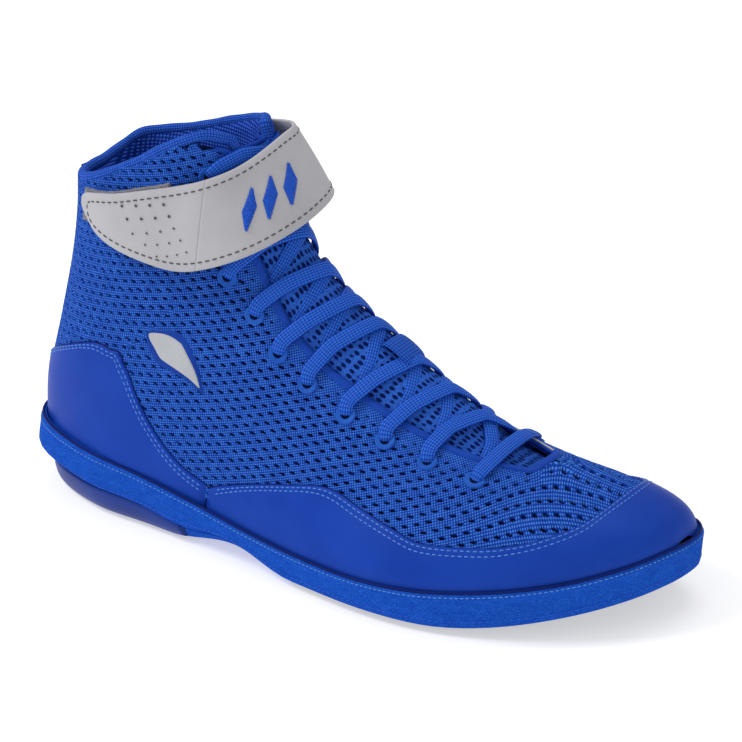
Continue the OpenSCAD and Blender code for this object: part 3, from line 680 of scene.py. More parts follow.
class Cloth:
    """Cloth coordinates (a along the rows, b across them) over the whole upper, and their inverse."""

    def __init__(self):
        self.u = np.linspace(0.4, 18.2, FABRIC_ROWS)
        self.w = np.linspace(-1, 1, FABRIC_COLS)
        u, w = np.meshgrid(self.u, self.w, indexing="ij")
        points = skin(u, w)
        along, across = fabric_directions(u, w)
        # nothing ties the two quarters together over the tongue
        held = np.where((u > 5.2) & (abs(w) < eyestay(u) * 0.8), 1e-3, 1.0)
        self.grid = np.stack([solve_cloth(points, along, held), solve_cloth(points, across, held)], -1)

    def value(self, place):
        """Cloth coordinates at places (n, 2) of [u, w]."""
        i = np.clip((place[:, 0] - self.u[0]) / (self.u[1] - self.u[0]), 0, FABRIC_ROWS - 1.001)
        j = np.clip((place[:, 1] - self.w[0]) / (self.w[1] - self.w[0]), 0, FABRIC_COLS - 1.001)
        k, m = i.astype(int), j.astype(int)
        f, g = (i - k)[:, None], (j - m)[:, None]
        a, b, c, d = self.grid[k, m], self.grid[k + 1, m], self.grid[k, m + 1], self.grid[k + 1, m + 1]
        return a * (1 - f) * (1 - g) + b * f * (1 - g) + c * (1 - f) * g + d * f * g

    def find(self, target, place, rounds=10):
        """Places whose cloth coordinates are the targets, by Newton's method from nearby places."""
        small = self.u[1] - self.u[0]
        thin = self.w[1] - self.w[0]
        for _ in range(rounds):
            error = target - self.value(place)
            du = (self.value(place + [small, 0]) - self.value(place - [small, 0])) / (2 * small)
            dw = (self.value(place + [0, thin]) - self.value(place - [0, thin])) / (2 * thin)
            det = du[:, 0] * dw[:, 1] - du[:, 1] * dw[:, 0]
            det = np.where(abs(det) < 1e-6, 1e-6, det)
            step = np.stack([(error[:, 0] * dw[:, 1] - error[:, 1] * dw[:, 0]) / det,
                (du[:, 0] * error[:, 1] - du[:, 1] * error[:, 0]) / det], -1)
            place = place + 0.85 * np.clip(step, [-0.4, -0.06], [0.4, 0.06])
        return place, np.abs(target - self.value(place)).max(1)

    def cells(self, outer):
        """Centres of the holes on one side: cloth coordinates and places."""
        columns = self.w <= 0.0001 if outer else self.w >= -0.0001
        u, w = np.meshgrid(self.u, self.w[columns], indexing="ij")
        near = self.grid[:, columns].reshape(-1, 2)
        places = np.stack([u.ravel(), w.ravel()], -1)
        cut = (u < 5.3) | (abs(w) > eyestay(u) - 0.01)
        near, places = near[cut.ravel()], places[cut.ravel()]
        tree = kdtree.KDTree(len(near))
        for k, (a, b) in enumerate(near):
            tree.insert((a, b, 0), k)
        tree.balance()
        low, high = near.min(0), near.max(0)
        found, starts = [], []
        for j in range(int(low[1] // CELL_H), int(high[1] // CELL_H) + 1):
            for i in range(int(low[0] // CELL_W) - 1, int(high[0] // CELL_W) + 2):
                centre = ((i + 0.5 * (j % 2)) * CELL_W, j * CELL_H)
                _, k, gap = tree.find((*centre, 0))
                if gap < CELL_W:
                    found.append(centre)
                    starts.append(places[k])
        centres, starts = np.array(found), np.array(starts)
        places, error = self.find(centres, starts)
        good = (error < 0.3) & ((places[:, 1] < 0) == outer) & (abs(places[:, 1]) < 1)
        return centres[good], places[good]


def edge_gap(place):
    """Millimetres from the eyestay edge, or from the throat's end, into the quarter."""
    u, w = place[:, 0], abs(place[:, 1])
    across = np.linalg.norm(skin(u, place[:, 1] + 0.01) - skin(u, place[:, 1] - 0.01), axis=1) / 0.02
    along = np.linalg.norm(skin(u + 0.05, place[:, 1]) - skin(u - 0.05, place[:, 1]), axis=1) / 0.1
    side = (w - eyestay(u)) * across
    end = (5.2 - u) * along
    round_corner = np.hypot(np.maximum(side, 0), np.maximum(end, 0))
    return np.where(u > 5.2, side, np.where(w > eyestay(u), round_corner, end))


OUTLINE = np.array([[-1, -1], [0, -1], [1, -1], [1, 1], [0, 1], [-1, 1]]) * 0.5
LENS_ANGLES = np.arange(12) / 12 * 2 * math.pi + math.radians(210)
LENS = np.stack([np.cos(LENS_ANGLES), np.sin(LENS_ANGLES) * abs(np.sin(LENS_ANGLES)) ** 0.3], -1) * 0.5
LENS_TILT = (math.radians(-8), math.radians(-30))      # on level cloth and on steep cloth
# Rings of a hole's wall: size, and distance out from the lasted surface
WALL = ((1.22, 1.5, 0.1), (1.0, 1.0, -0.2), (0.94, 0.9, -1.0))


def lens(places, width, height):
    """Corners of the lens-shaped holes at places, tilted against their rows."""
    out = normal(places[:, 0], places[:, 1])
    steep = np.clip(np.hypot(out[:, 0], out[:, 1]) * 1.6 - 0.6, 0, 1)[:, None]
    tilt = LENS_TILT[0] * (1 - steep) + LENS_TILT[1] * steep
    x, y = LENS[:, 0] * width, LENS[:, 1] * height
    turn, lean = np.cos(tilt), np.sin(tilt)
    return np.stack([x * turn - y * lean, x * lean + y * turn], -1)


def kept_in(spots, centres_u):
    """Moves corners that would hang over the throat or the collar back to the edge."""
    over = (spots[..., 0] > 5.17) & (abs(spots[..., 1]) < eyestay(spots[..., 0]) + 0.006)
    front = over & (centres_u < 5.2)
    side = over & ~front
    spots[..., 0] = np.where(front, 5.17, spots[..., 0])
    edge = np.where(spots[..., 1] < 0, -1, 1) * (eyestay(spots[..., 0]) + 0.006)
    spots[..., 1] = np.where(side, edge, spots[..., 1])
    spots[..., 0] = np.minimum(spots[..., 0], rim(spots[..., 1]))
    return spots


def mesh_fabric(cloth):
    """One layer of mesh over both quarters and the vamp, with a real hole in every cell but those close to
    the eyestay edge and the throat's end, which stay closed.
    """
    known, spots_of, cloth_of, out_of, faces = {}, [], [], [], []
    for outer in (True, False):
        centres, places = cloth.cells(outer)
        gap = edge_gap(places)
        covered = ((places[:, 0] < 3.0) | (places[:, 0] > rim(places[:, 1]))
            | (abs(places[:, 1]) > 0.93) | (gap < 0.1 * CELL_W))
        centres, places, gap = centres[~covered], places[~covered], gap[~covered]
        opening = np.clip((gap - 4.5) / 6.0, 0, 1)
        opening = np.where(opening < 0.15, 0, 0.4 + 0.6 * opening)
        corners = [centres[:, None] + OUTLINE * [CELL_W, CELL_H]]
        for wide, high, _ in WALL:
            size = np.maximum(opening, 0.3)[:, None, None]
            corners.append(centres[:, None] + lens(places, HOLE_W * wide, HOLE_H * high) * size)
        corners = np.concatenate(corners, 1)
        n = corners.shape[1]
        spots, _ = cloth.find(corners.reshape(-1, 2), np.repeat(places, n, 0), 7)
        spots[:, 1] = np.clip(spots[:, 1], -0.999, 0.999)
        spots = kept_in(spots.reshape(-1, n, 2), places[:, :1])
        outs = np.concatenate([np.zeros(6)] + [np.full(12, level) for *_, level in WALL])
        for corner, spot, open_share in zip(corners, spots, opening):
            ids = []
            for k in range(6 if open_share == 0 else n):
                # the two halves share their corners on the vamp only
                half = 0 if spot[k, 0] < 5.0 and abs(spot[k, 1]) < 0.1 else 1 + outer
                key = (half, round(corner[k, 0] * 20), round(corner[k, 1] * 20))
                if k >= 6 or key not in known:
                    known[key] = len(spots_of)
                    spots_of.append(spot[k])
                    cloth_of.append(corner[k])
                    out_of.append(outs[k])
                    ids.append(len(spots_of) - 1)
                else:
                    ids.append(known[key])
            if open_share == 0:
                faces.append(ids)
                continue
            for k in range(6):
                k2 = (k + 1) % 6
                faces.append([ids[k], ids[k2], ids[6 + 2 * k2], ids[6 + 2 * k + 1], ids[6 + 2 * k]])
            for k in range(12):
                k2 = (k + 1) % 12
                for first in (6, 18):
                    faces.append([ids[first + k], ids[first + k2], ids[first + 12 + k2], ids[first + 12 + k]])
    spots = np.array(spots_of)
    obj = mesh("upper_mesh", at(spots[:, 0], spots[:, 1], np.array(out_of)), faces, np.array(cloth_of))
    return dress(obj, MESH_KNIT,
        replaces=("vamp_mesh", "quarter_mesh_lateral", "quarter_mesh_medial"))


# ---------- overlays ----------
def patch(low, high, rows, shares):
    """Grid of [u, w] places between two edges with the same number of knots."""
    t = np.linspace(0, len(low) - 1, rows)
    a, b = spline(low, t), spline(high, t)
    return a[:, None] + (b - a)[:, None] * np.asarray(shares)[None, :, None]


def two_sided(grid):
    """The outer side's rows, then the same rows in reverse on the inner side; the last is shared."""
    return np.concatenate([grid * [1, -1], grid[-2::-1]])


EDGE_SHARES = np.concatenate([np.linspace(0, 0.88, 12), [0.92, 0.95, 0.97, 0.985, 0.994, 1.0]])


def from_edges(points, sides):
    """Distance of each grid point from the chosen edges: high column, first and last row."""
    gaps = []
    if "high" in sides:
        gaps.append(np.cumsum(np.linalg.norm(np.diff(points, axis=1), axis=2)[:, ::-1], 1)[:, ::-1])
        gaps[-1] = np.concatenate([gaps[-1], np.zeros((len(points), 1))], 1)
    if "low" in sides:
        gap = np.cumsum(np.linalg.norm(np.diff(points, axis=1), axis=2), 1)
        gaps.append(np.concatenate([np.zeros((len(points), 1)), gap], 1))
    steps = np.linalg.norm(np.diff(points, axis=0), axis=2)
    zero = np.zeros((1, points.shape[1]))
    if "ends" in sides:
        gaps.append(np.concatenate([zero, np.cumsum(steps, 0)]))
        gaps.append(np.concatenate([np.cumsum(steps[::-1], 0)[::-1], zero]))
    return np.min(gaps, 0)


def panel(name, grid, out, sides, round_edge=0.9, sunk=-0.25):
    """A thin layer over the upper whose chosen edges are rounded down to it."""
    flat = skin(grid[..., 0], grid[..., 1])
    gap = np.clip(from_edges(flat, sides) / round_edge, 0, 1)
    height = sunk + (out - sunk) * np.sqrt(1 - (1 - gap) ** 2)
    points = at(grid[..., 0], grid[..., 1], height)
    return mesh(name, points.reshape(-1, 3), grid_faces(*grid.shape[:2]), grid_uv(flat))


def along_edge(grid, inset, out, trim=0):
    """Path inside a grid's high edge, with the outward normals, for seams and edge lines."""
    flat = skin(grid[..., 0], grid[..., 1])
    gap = from_edges(flat, ("high",))
    places = np.stack([[np.interp(inset, gap[r, ::-1], grid[r, ::-1, k]) for k in (0, 1)]
        for r in range(trim, len(grid) - trim)])
    return at(places[:, 0], places[:, 1], out), normal(places[:, 0], places[:, 1])


def overlay(name, grid, node):
    obj = panel(name, grid, OVERLAY_OUT, ("high", "ends"))
    dress(obj, OVERLAY, replaces=(node,))
    # a dark cord along the overlay's edge: its dark cut edge, with painted shade where the overlay steps down
    # to the mesh
    line = along_edge(grid, 0.15, 0.15)[0]
    cut = mesh(name + "_edge_shade_line", *sweep(tube(resample(line, 0.8), 0.34, 6)))
    dress(cut, PIPING)
    seams = [along_edge(grid, inset, OVERLAY_OUT, 1) for inset in (1.5, 3.5)]
    stitches(name + "_stitches", seams, THREAD_LIGHT, 2.5, 1.65, 0.27)
    return obj


def overlays():
    forefoot = two_sided(patch(FOREFOOT_LOW, FOREFOOT_HIGH, 90, EDGE_SHARES))
    heel = two_sided(patch(HEEL_LOW, HEEL_HIGH, 60, EDGE_SHARES))
    overlay("forefoot_smooth_overlay", forefoot, "forefoot_overlay")
    overlay("heel_smooth_overlay", heel, "heel_overlay")
    tape = [[14.4, 0.9], [15.3, 0.9], [16.4, 0.9], [18.1, 0.9]]
    seam = [[14.4, 1], [15.3, 1], [16.4, 1], [18.05, 1]]
    half = patch(tape, seam, 24, np.linspace(0, 1, 9))
    grid = np.concatenate([half * [1, -1], half[:, ::-1][:, 1:]], 1)
    back = panel("back_seam_tape", grid, 0.6, ("high", "low"), 0.6)
    dress(back, DENSE_KNIT)


# ---------- layers inside the mesh ----------
def quarter_grid(side, first_u, last_u, rows, cols, edge_shift=0.0):
    u = np.linspace(first_u, last_u, rows)
    start = eyestay(u) + edge_shift
    share = np.linspace(0, 1, cols)
    w = side * (start[:, None] + (1 - start)[:, None] * share)
    return np.stack([np.broadcast_to(u[:, None], w.shape), w], -1)


def layer(name, grid, inner, outer, finish, slot, replaces=()):
    """A closed sheet between two distances from the lasted surface."""
    rows, cols = grid.shape[:2]
    u, w = grid[..., 0], grid[..., 1]
    both = np.concatenate([at(u, w, outer).reshape(-1, 3), at(u, w, inner).reshape(-1, 3)])
    top = grid_faces(rows, cols)
    n = rows * cols
    ring = list(range(cols - 1)) + [i * cols + cols - 1 for i in range(rows - 1)] \
        + [(rows - 1) * cols + j for j in range(cols - 1, 0, -1)] + [i * cols for i in range(rows - 1, 0, -1)]
    walls = [[a, a + n, b + n, b] for a, b in zip(ring, ring[1:] + ring[:1])]
    uv = grid_uv(skin(u, w))
    obj = mesh(name, both, top.tolist() + (top[:, ::-1] + n).tolist() + walls, np.concatenate([uv, uv]))
    return dress(obj, finish, replaces=replaces)


def inner_layers():
    # the backing layers are painted near black, as the shade seen through the mesh holes
    for side, word in ((-1, "lateral"), (1, "medial")):
        grid = quarter_grid(side, 5.25, 17.95, 90, 40)
        layer("painted_shade_backing_" + word, grid, -1.5, -1.0, PAINTED_SHADE_BACKING, "mesh")
        layer("lining_" + word, grid, -2.75, -1.75, LINING_KNIT, "lining",
            ("quarter_lining_" + word,))
    u = np.linspace(0.5, 5.22, 40)
    w = np.linspace(-0.99, 0.99, 60)
    vamp = np.stack(np.meshgrid(u, w, indexing="ij"), -1)
    layer("painted_shade_backing_vamp", vamp, -1.5, -1.0, PAINTED_SHADE_BACKING, "mesh")
    layer("lining_vamp", vamp, -2.75, -1.75, LINING_KNIT, "lining", ("vamp_lining",))


def eyestays():
    """Narrow tape folded round each quarter's edge and across the throat's end."""
    across = np.array([0.6, -0.5, -1.1, -0.6, 0.4, 1.3, 1.9, 2.3, 2.5])
    height = np.array([-1.7, -1.6, -0.6, 0.35, 0.6, 0.6, 0.45, 0.2, -0.2])
    for side, word in ((-1, "lateral"), (1, "medial")):
        u = np.concatenate([np.full(8, 5.2), np.linspace(5.25, 17.6, 110)])
        edge = eyestay(u)
        edge[:8] = np.linspace(0.0, edge[8], 8, endpoint=False)
        w = side * edge
        wide = np.linalg.norm(skin(u, w + side * 0.01) - skin(u, w), axis=1) / 0.01
        long = np.linalg.norm(skin(u - 0.05, w) - skin(u, w), axis=1) / 0.05
        turn = np.clip((np.arange(len(u)) - 2) / 10.0, 0, 1) * math.pi / 2
        du = -across[None] * np.cos(turn)[:, None] / long[:, None]
        dw = side * across[None] * np.sin(turn)[:, None] / wide[:, None]
        grid = np.stack([u[:, None] + du, w[:, None] + dw], -1)
        points = at(grid[..., 0], grid[..., 1], np.broadcast_to(height, grid.shape[:2]))
        obj = mesh("eyestay_" + word, points.reshape(-1, 3), grid_faces(*grid.shape[:2]), grid_uv(points))
        dress(obj, EDGE_TAPE)
        if side > 0:
            # a pale line drawn along the inner eyestay's edge
            line = mesh("eyestay_pale_line", *sweep(tube(resample(points[8:70, 3], 0.8), 0.4, 6)))
            dress(line, MARK)


# ---------- eyelets and lace ----------
def tangents(u, w):
    out = normal(u, w)
    along = unit(skin(u + STEP, w) - skin(u - STEP, w))
    return out, along, np.cross(out, along)


def eyelet_rings():
    radius = np.array([1.75, 1.9, 2.1, 2.7, 3.1, 3.4, 3.7, 3.9, 4.0])
    height = np.array([-0.6, 0.45, 0.62, 0.62, 0.66, 0.86, 0.82, 0.5, -0.1])
    a = np.arange(40) / 40 * 2 * math.pi
    for side, word in ((-1, "lateral"), (1, "medial")):
        points, faces = [], []
        for k, (u, w) in enumerate(EYELETS):
            out, along, across = tangents(u, side * w)
            ring = along * np.cos(a)[:, None] + across * np.sin(a)[:, None]
            p = skin(u, side * w) + ring[None] * radius[:, None, None] + out * height[:, None, None]
            points.append(p.reshape(-1, 3))
            faces.append(grid_faces(len(radius), 40, closed_cols=True) + k * len(radius) * 40)
        obj = mesh("eyelet_rings_" + word, np.concatenate(points), np.concatenate(faces))
        tidy(obj)
        dress(obj, EYELET, replaces=("eyelets_" + word,))
        # flat near-black discs in the eyelet rings: painted shade standing for the holes' depth
        holes, hole_faces = [], []
        for k, (u, w) in enumerate(EYELETS):
            out, along, across = tangents(u, side * w)
            ring = along * np.cos(a)[:, None] + across * np.sin(a)[:, None]
            holes.append(skin(u, side * w) + ring * 1.85 + out * 0.42)
            hole_faces.append(list(range(k * 40, k * 40 + 40)))
        dark = mesh("eyelet_shade_disc_" + word, np.concatenate(holes), hole_faces, smooth=False)
        dress(dark, PAINTED_SHADE_BACKING)


LANES = (1.1, -0.8)
FLAT, PINCHED = (3.1, 0.95), (1.9, 1.15)     # half width and half thickness of the lace


def bulge(u):
    """How far the full tongue lifts the lace between the eyestays: most at the middle of the instep."""
    return np.interp(u, [5.7, 6.6, 7.6, 8.8, 10, 11.2, 12.6, 14], [0.3, 3.0, 5.0, 5.9, 5.3, 3.7, 1.9, 0.9])


def crossing(k, side, height):
    """From inside eyelet k over to the outside of eyelet k + 1 on the other side: [u, w, out, flat]."""
    (ua, wa), (ub, wb) = EYELETS[k], EYELETS[k + 1]
    edge_a, edge_b, du = float(eyestay(ua)), float(eyestay(ub)), ub - ua
    sway = 0.08 * math.sin(2.3 * k + side)
    rise = float(bulge((ua + ub) / 2))
    return [[ua, side * wa, LACE_IN, 0],
        [ua + (0.4 + sway) * du, side * 0.55 * edge_a, height - 1.1 + 0.75 * rise, 0.9],
        [ub - (0.15 - sway) * du, 0, height + 0.3 + rise, 1],
        [ub + (0.12 + sway) * du, -side * 0.75 * edge_b, LACE_ON - 0.5 + 0.45 * rise, 1],
        [ub + 0.15 * du, -side * (edge_b * 0.4 + wb * 0.6), LACE_ON - 0.1, 1],
        [ub + 0.05 * du, -side * (wb - 0.012), LACE_ON - 0.3, 0.7],
        [ub, -side * wb, LACE_ON - 1.4, 0.25]]


def lace_route():
    def half(first_side):
        route = []
        for k in range(len(EYELETS) - 1):
            side = first_side if k % 2 == 0 else -first_side
            route += crossing(k, side, LANES[0] if side > 0 else LANES[1])
        return route

    def tail(side):
        return [[16.3, side * 0.24, LACE_IN, 0], [15.2, side * 0.3, LACE_IN, 1]]

    last_side = 1 if (len(EYELETS) - 1) % 2 == 0 else -1
    bar = [[5.75, -0.3, LACE_ON - 1.2, 0], [5.76, -0.27, LACE_ON, 1], [5.8, -0.1, LACE_ON, 1],
        [5.8, 0.1, LACE_ON, 1], [5.76, 0.27, LACE_ON, 1], [5.75, 0.3, LACE_ON - 1.2, 0]]
    return tail(-last_side)[::-1] + half(-1)[::-1] + bar + half(1) + tail(last_side)


def flat_lace():
    """The lace follows the skin at its own height, then its turns are rounded by a moving average."""
    route = np.array(lace_route())
    fine = np.arange(0, len(route) - 1 + 1e-9, 0.04)
    steps = np.stack([np.interp(fine, np.arange(len(route)), column) for column in route.T], -1)
    points = at(steps[:, 0], steps[:, 1], steps[:, 2])
    steps = resample(np.concatenate([points, normal(steps[:, 0], steps[:, 1]), steps[:, 3:]], 1), 0.8)
    window = np.hanning(11)[1:-1] / np.hanning(11).sum()
    steps = np.pad(steps, ((4, 4), (0, 0)), "edge")
    steps = np.stack([np.convolve(column, window, "valid") for column in steps.T], -1)
    path, out, flat = steps[:, :3], steps[:, 3:6], steps[:, 6]
    along = unit(np.gradient(path, axis=0))
    out = unit(out - along * (out * along).sum(1)[:, None])
    side = np.cross(along, out)
    half_w = (PINCHED[0] + (FLAT[0] - PINCHED[0]) * flat)[:, None]
    half_t = (PINCHED[1] + (FLAT[1] - PINCHED[1]) * flat)[:, None]
    a = np.arange(20) / 20 * 2 * math.pi
    across = np.sign(np.cos(a)) * abs(np.cos(a)) ** 0.8 * half_w
    up = np.sin(a) * half_t
    rings = path[:, None] + side[:, None] * across[..., None] + out[:, None] * up[..., None]
    p, f = sweep(rings)
    length = distance_along(path)
    uv = np.stack(np.broadcast_arrays(length[:, None], across), -1).reshape(-1, 2)
    obj = mesh("flat_lace", p, f, uv)
    dress(obj, LACE, replaces=("lace",))
    points, faces = [], []
    for k, s in enumerate((-1, 1)):
        ends = np.array([[15.1, s * 0.305, LACE_IN], [14.6, s * 0.32, LACE_IN - 0.2],
            [14.1, s * 0.34, LACE_IN]])
        tip, tip_faces = sweep(tube(at(ends[:, 0], ends[:, 1], ends[:, 2]), 1.05, 16))
        points.append(tip)
        faces += [[i + k * len(tip) for i in face] for face in tip_faces]
    dress(mesh("lace_tips", np.concatenate(points), faces), AGLET, replaces=("aglets",))


# ---------- tongue ----------
def tongue_slots():
    """Tongue fabric: a knit with rows of short slots sunk into it, painted near black inside the slots as
    shade.
    """
    f = Finish("tongue_fabric_shaded_slots", roughness=0.75, sheen=0.08, specular=0.05)
    spots = f.nodes.new("ShaderNodeTexVoronoi")
    f.set(spots, Vector=f.where("UV", (2.6, 4.6, 1.0)), Scale=1.0, Randomness=0.25)
    cloth = f.maths("MULTIPLY", f.maths("SUBTRACT", spots.outputs["Distance"], 0.24), 7)
    cloth = f.maths("MINIMUM", f.maths("MAXIMUM", cloth, 0), 1)
    speckle = f.noise("Object", 2200, 2)
    # tone falls to nothing inside the slots: painted shade in the recesses
    tone = f.maths("MULTIPLY", f.maths("ADD", speckle, 0.1), cloth)
    f.paint(f.ramp(tone, (0.1, colour(4, 24, 84)), (0.4, colour(20, 62, 156)), (0.75, colour(54, 108, 208))))
    return f.relief((cloth, 0.7, 0.9), (speckle, 0.15, 0.5)).material


CROWN = 4.3     # height of the tongue's middle over its edges, beside the bulge


def padded_tongue():
    """Soft tongue: a crowned, closed pad whose edges thin out, with its slotted face outwards."""
    u = np.linspace(4.7, 16.8, 120)
    share = np.linspace(-1, 1, 31)
    half = eyestay(u) + 0.1
    end = np.clip((16.8 - u) / 0.5, 0, 1)
    half = half * (0.55 + 0.45 * np.sqrt(1 - (1 - end) ** 2))
    w = half[:, None] * share
    closing = np.sqrt(1 - (1 - np.clip(end, 0.02, 1)) ** 2)
    puff = np.sqrt(np.clip(1 - abs(share) ** 3, 0, 1))[None] * closing[:, None]
    uu = np.broadcast_to(u[:, None], w.shape)
    level = TONGUE_OUT - 1.0 + 1.6 * np.clip((6.6 - u) / 1.4, 0, 1)[:, None]
    crown = (1 - abs(share) ** 2.2)[None] * (CROWN * np.clip((u - 5.6) / 1.2, 0, 1) + bulge(u))[:, None]
    top = at(uu, w, level + crown + puff)
    bottom = at(uu, w, level - 1.2 * puff)
    rows, cols = w.shape
    faces = grid_faces(rows, cols)
    uv = grid_uv(top)
    obj = mesh("padded_tongue", np.concatenate([top.reshape(-1, 3), bottom.reshape(-1, 3)]),
        faces.tolist() + (faces[:, ::-1] + rows * cols).tolist(), np.concatenate([uv, uv]))
    tidy(obj, merge=0.0002)
    dress(obj, tongue_slots(), replaces=("tongue",))
    rim = np.concatenate([top[30:, 0], top[-1], top[:29:-1, -1]])
    edge = mesh("tongue_binding", *sweep(tube(resample(rim, 1.0), 1.1, 10)))
    dress(edge, BINDING)


def lace_loop():
    """Webbing loop on the tongue that holds the lace."""
    s = np.linspace(-1, 1, 25)
    u = 8.3 + s * 0.32
    height = TONGUE_OUT + CROWN + bulge(u) + 3.0 * np.sqrt(np.clip(1 - s**2, 0, 1)) ** 0.6
    w = np.linspace(-0.075, 0.075, 9)
    ring = [(k, 0.5) for k in w] + [(k, -0.3) for k in w[::-1]]
    rings = np.stack([at(u, np.full_like(u, k), height + o) for k, o in ring], 1)
    p, f = sweep(rings)
    around = np.r_[w, w[::-1]] * 70
    uv = np.stack(np.meshgrid(distance_along(rings[:, 4]), around, indexing="ij"), -1).reshape(-1, 2)
    dress(mesh("tongue_lace_loop", p, f, uv), LOOP_WEB, replaces=("tongue_loop",))


# ---------- collar ----------
# The rim's station at |w| = 0.1, 0.2 ... 1, from the front corner to the back seam: the outer side
# dips behind a rounded flap, and the inner side stands higher towards the back
RIM_OUTER = [17.7, 18.4, 18.45, 18.3, 17.98, 17.85, 17.86, 17.95, 18.02, 18.05]
RIM_INNER = [17.65, 17.8, 17.82, 17.9, 18.0, 18.12, 18.26, 18.34, 18.2, 18.05]


def rim(w):
    """The collar edge's station at w."""
    w = np.asarray(w, float)
    t = (abs(w) - 0.1) / 0.1
    return np.where(w < 0, spline(RIM_OUTER, t), spline(RIM_INNER, t))


def binding_path():
    w = np.concatenate([[0.1, 0.1], np.linspace(0.1, 1, 60)])
    drop = np.concatenate([[1.4, 0.7], np.zeros(60)])
    outer, inner = rim(-w) - drop, (rim(w) - drop)[-2::-1]
    return at(np.concatenate([outer, inner]), np.concatenate([-w, w[-2::-1]]), -1.9)


def collar_binding():
    """Soft knit roll over the collar's edge, a little uneven as it is stuffed and sewn."""
    path = resample(binding_path(), 1.0)
    length = distance_along(path)
    radius = 2.05 + 0.1 * np.sin(length / 5.3) + 0.08 * np.sin(length / 2.1 + 1)
    points, faces = sweep(tube(path, radius, 18))
    around = np.arange(18) / 18 * 2 * math.pi * 2.1
    uv = np.stack(np.meshgrid(length, around, indexing="ij"), -1).reshape(-1, 2)
    obj = mesh("collar_roll", points, faces, uv)
    return dress(obj, BINDING, replaces=("collar_binding",))


def collar_pad():
    """Foam-filled collar lining: a puffed band inside the rim, softened by a cloth simulation."""
    w = np.linspace(-0.24, -1.8, 90)
    w = np.where(w < -1, w + 2, w)
    share = np.array([0, 0.1, 0.25, 0.45, 0.65, 0.82, 0.93, 1.0])
    top = rim(w) - 0.05
    uu = 15.6 + (top[:, None] - 15.6) * share
    ww = np.broadcast_to(w[:, None], uu.shape)
    swell = np.sqrt(np.clip(1 - (2 * share - 1) ** 2, 0.02, 1))
    k = np.arange(90)[:, None]
    fold = 0.35 * np.sin(k / 2.6 + 3 * share) * swell * (0.4 + abs(np.sin(k / 9.0)))
    outer = at(uu, ww, np.full(uu.shape, -2.9))
    inner = at(uu, ww, -3.3 - 2.4 * swell - fold)
    obj = mesh("collar_pad", *sweep(np.concatenate([outer, inner[:, ::-1]], 1)))
    tidy(obj)
    sewn = [k for k in range(len(obj.data.vertices)) if k % 16 in (0, 7, 8, 15)]
    puff(obj, sewn, cap=1.5)
    dress(obj, PAD_KNIT, replaces=("collar_padding",))
    return obj


def puff(obj, sewn, cap, pressure=4.0):
    """Cloth with pressure, held at the sewn points; no point moves more than cap millimetres."""
    obj.vertex_groups.new(name="sewn").add(sewn, 1.0, "REPLACE")
    start = np.array([v.co for v in obj.data.vertices])
    modifier = obj.modifiers.new("cloth", "CLOTH")
    settings = modifier.settings
    settings.quality = 6
    settings.vertex_group_mass = "sewn"
    settings.use_pressure, settings.uniform_pressure_force = True, pressure
    settings.effector_weights.gravity = 0
    for frame_number in range(1, 21):
        bpy.context.scene.frame_set(frame_number)
    evaluated = obj.evaluated_get(bpy.context.evaluated_depsgraph_get())
    moved = np.array([v.co for v in evaluated.data.vertices])
    obj.modifiers.remove(modifier)
    bpy.context.scene.frame_set(1)
    shift = moved - start
    size = np.linalg.norm(shift, axis=1, keepdims=True)
    shift *= np.minimum(1, cap * MM / np.maximum(size, 1e-9))
    obj.data.vertices.foreach_set("co", (start + shift).ravel())
    obj.data.polygons.foreach_set("use_smooth", [True] * len(obj.data.polygons))
    obj.data.update()
    apply(obj, "SUBSURF", levels=1, render_levels=1)


# ---------- sole ----------
LOOP_T = np.arange(0, 26, 0.2)


def tuck(t):
    return spline(HEEL_TUCK, station(t))


def board_z(t):
    return spline(FEATHER_Z, station(t))


def lift(t):
    """Height of the rand's lower edge over the treads."""
    return spline(RAND_LIFT, station(t))


def rand_ring(t, corner):
    """A point of the rand's section: distance outside the feather edge and level."""
    q = outline(t, corner[0])
    return np.concatenate([q, corner[1][:, None]], 1)


def rand_section(t):
    """Corners of the rand's section at t, as in part.scad."""
    s = station(t)
    top, flare = spline(RAND_TOP, s), spline(RAND_FLARE, s)
    side = outline(t, np.zeros_like(t))
    low = under(side[:, 0]) + TREAD_T + lift(t)
    inward, board = tuck(t), board_z(t)
    face, rand_t = OVERLAY_OUT + 0.45, 1.4
    return [(np.minimum(flare, 0) + face - 0.8, top - 0.2), (flare + face + 0.7, top + 0.15),
        (flare + face + rand_t, top - 0.7),
        (face + rand_t + 0.55 + 0.5 * flare, (top + board) / 2), (face + rand_t + 0.4, board),
        (face + rand_t - 0.4 - inward, low + 0.9), (face - inward, low + 0.1), (0.9 - inward, low),
        (0.9 - inward, low + rand_t), (face, board)]


def suede_rand():
    section = rand_section(LOOP_T)
    corners = np.stack([rand_ring(LOOP_T, c) for c in section], 1)
    k = np.arange(0, len(section), 0.25)
    rings = np.stack([loop_spline(ring, k) for ring in corners])
    p, f = sweep(rings, closed=True)
    obj = mesh("napped_rand", p, f)
    dress(obj, SUEDE, replaces=("suede_rand",))
    path = resample(np.concatenate([corners[:, 3], corners[:1, 3]]) * 0.2
        + np.concatenate([corners[:, 2], corners[:1, 2]]) * 0.8, 1.0)
    out = outward_of(path)
    low = resample(np.concatenate([corners[:, 5], corners[:1, 5]]) * 0.8
        + np.concatenate([corners[:, 4], corners[:1, 4]]) * 0.2, 1.0)
    stitches("rand_stitches", [(path + out * 0.12, out)], THREAD_LIGHT, 2.1, 1.4, 0.24)
    stitches("rand_lower_stitches", [(low + outward_of(low) * 0.1, outward_of(low))],
        THREAD_BLUE, 2.4, 1.7, 0.24)


def outward_of(path):
    d = np.gradient(path, axis=0)
    return unit(np.stack([-d[:, 1], d[:, 0], np.zeros(len(d))], 1))


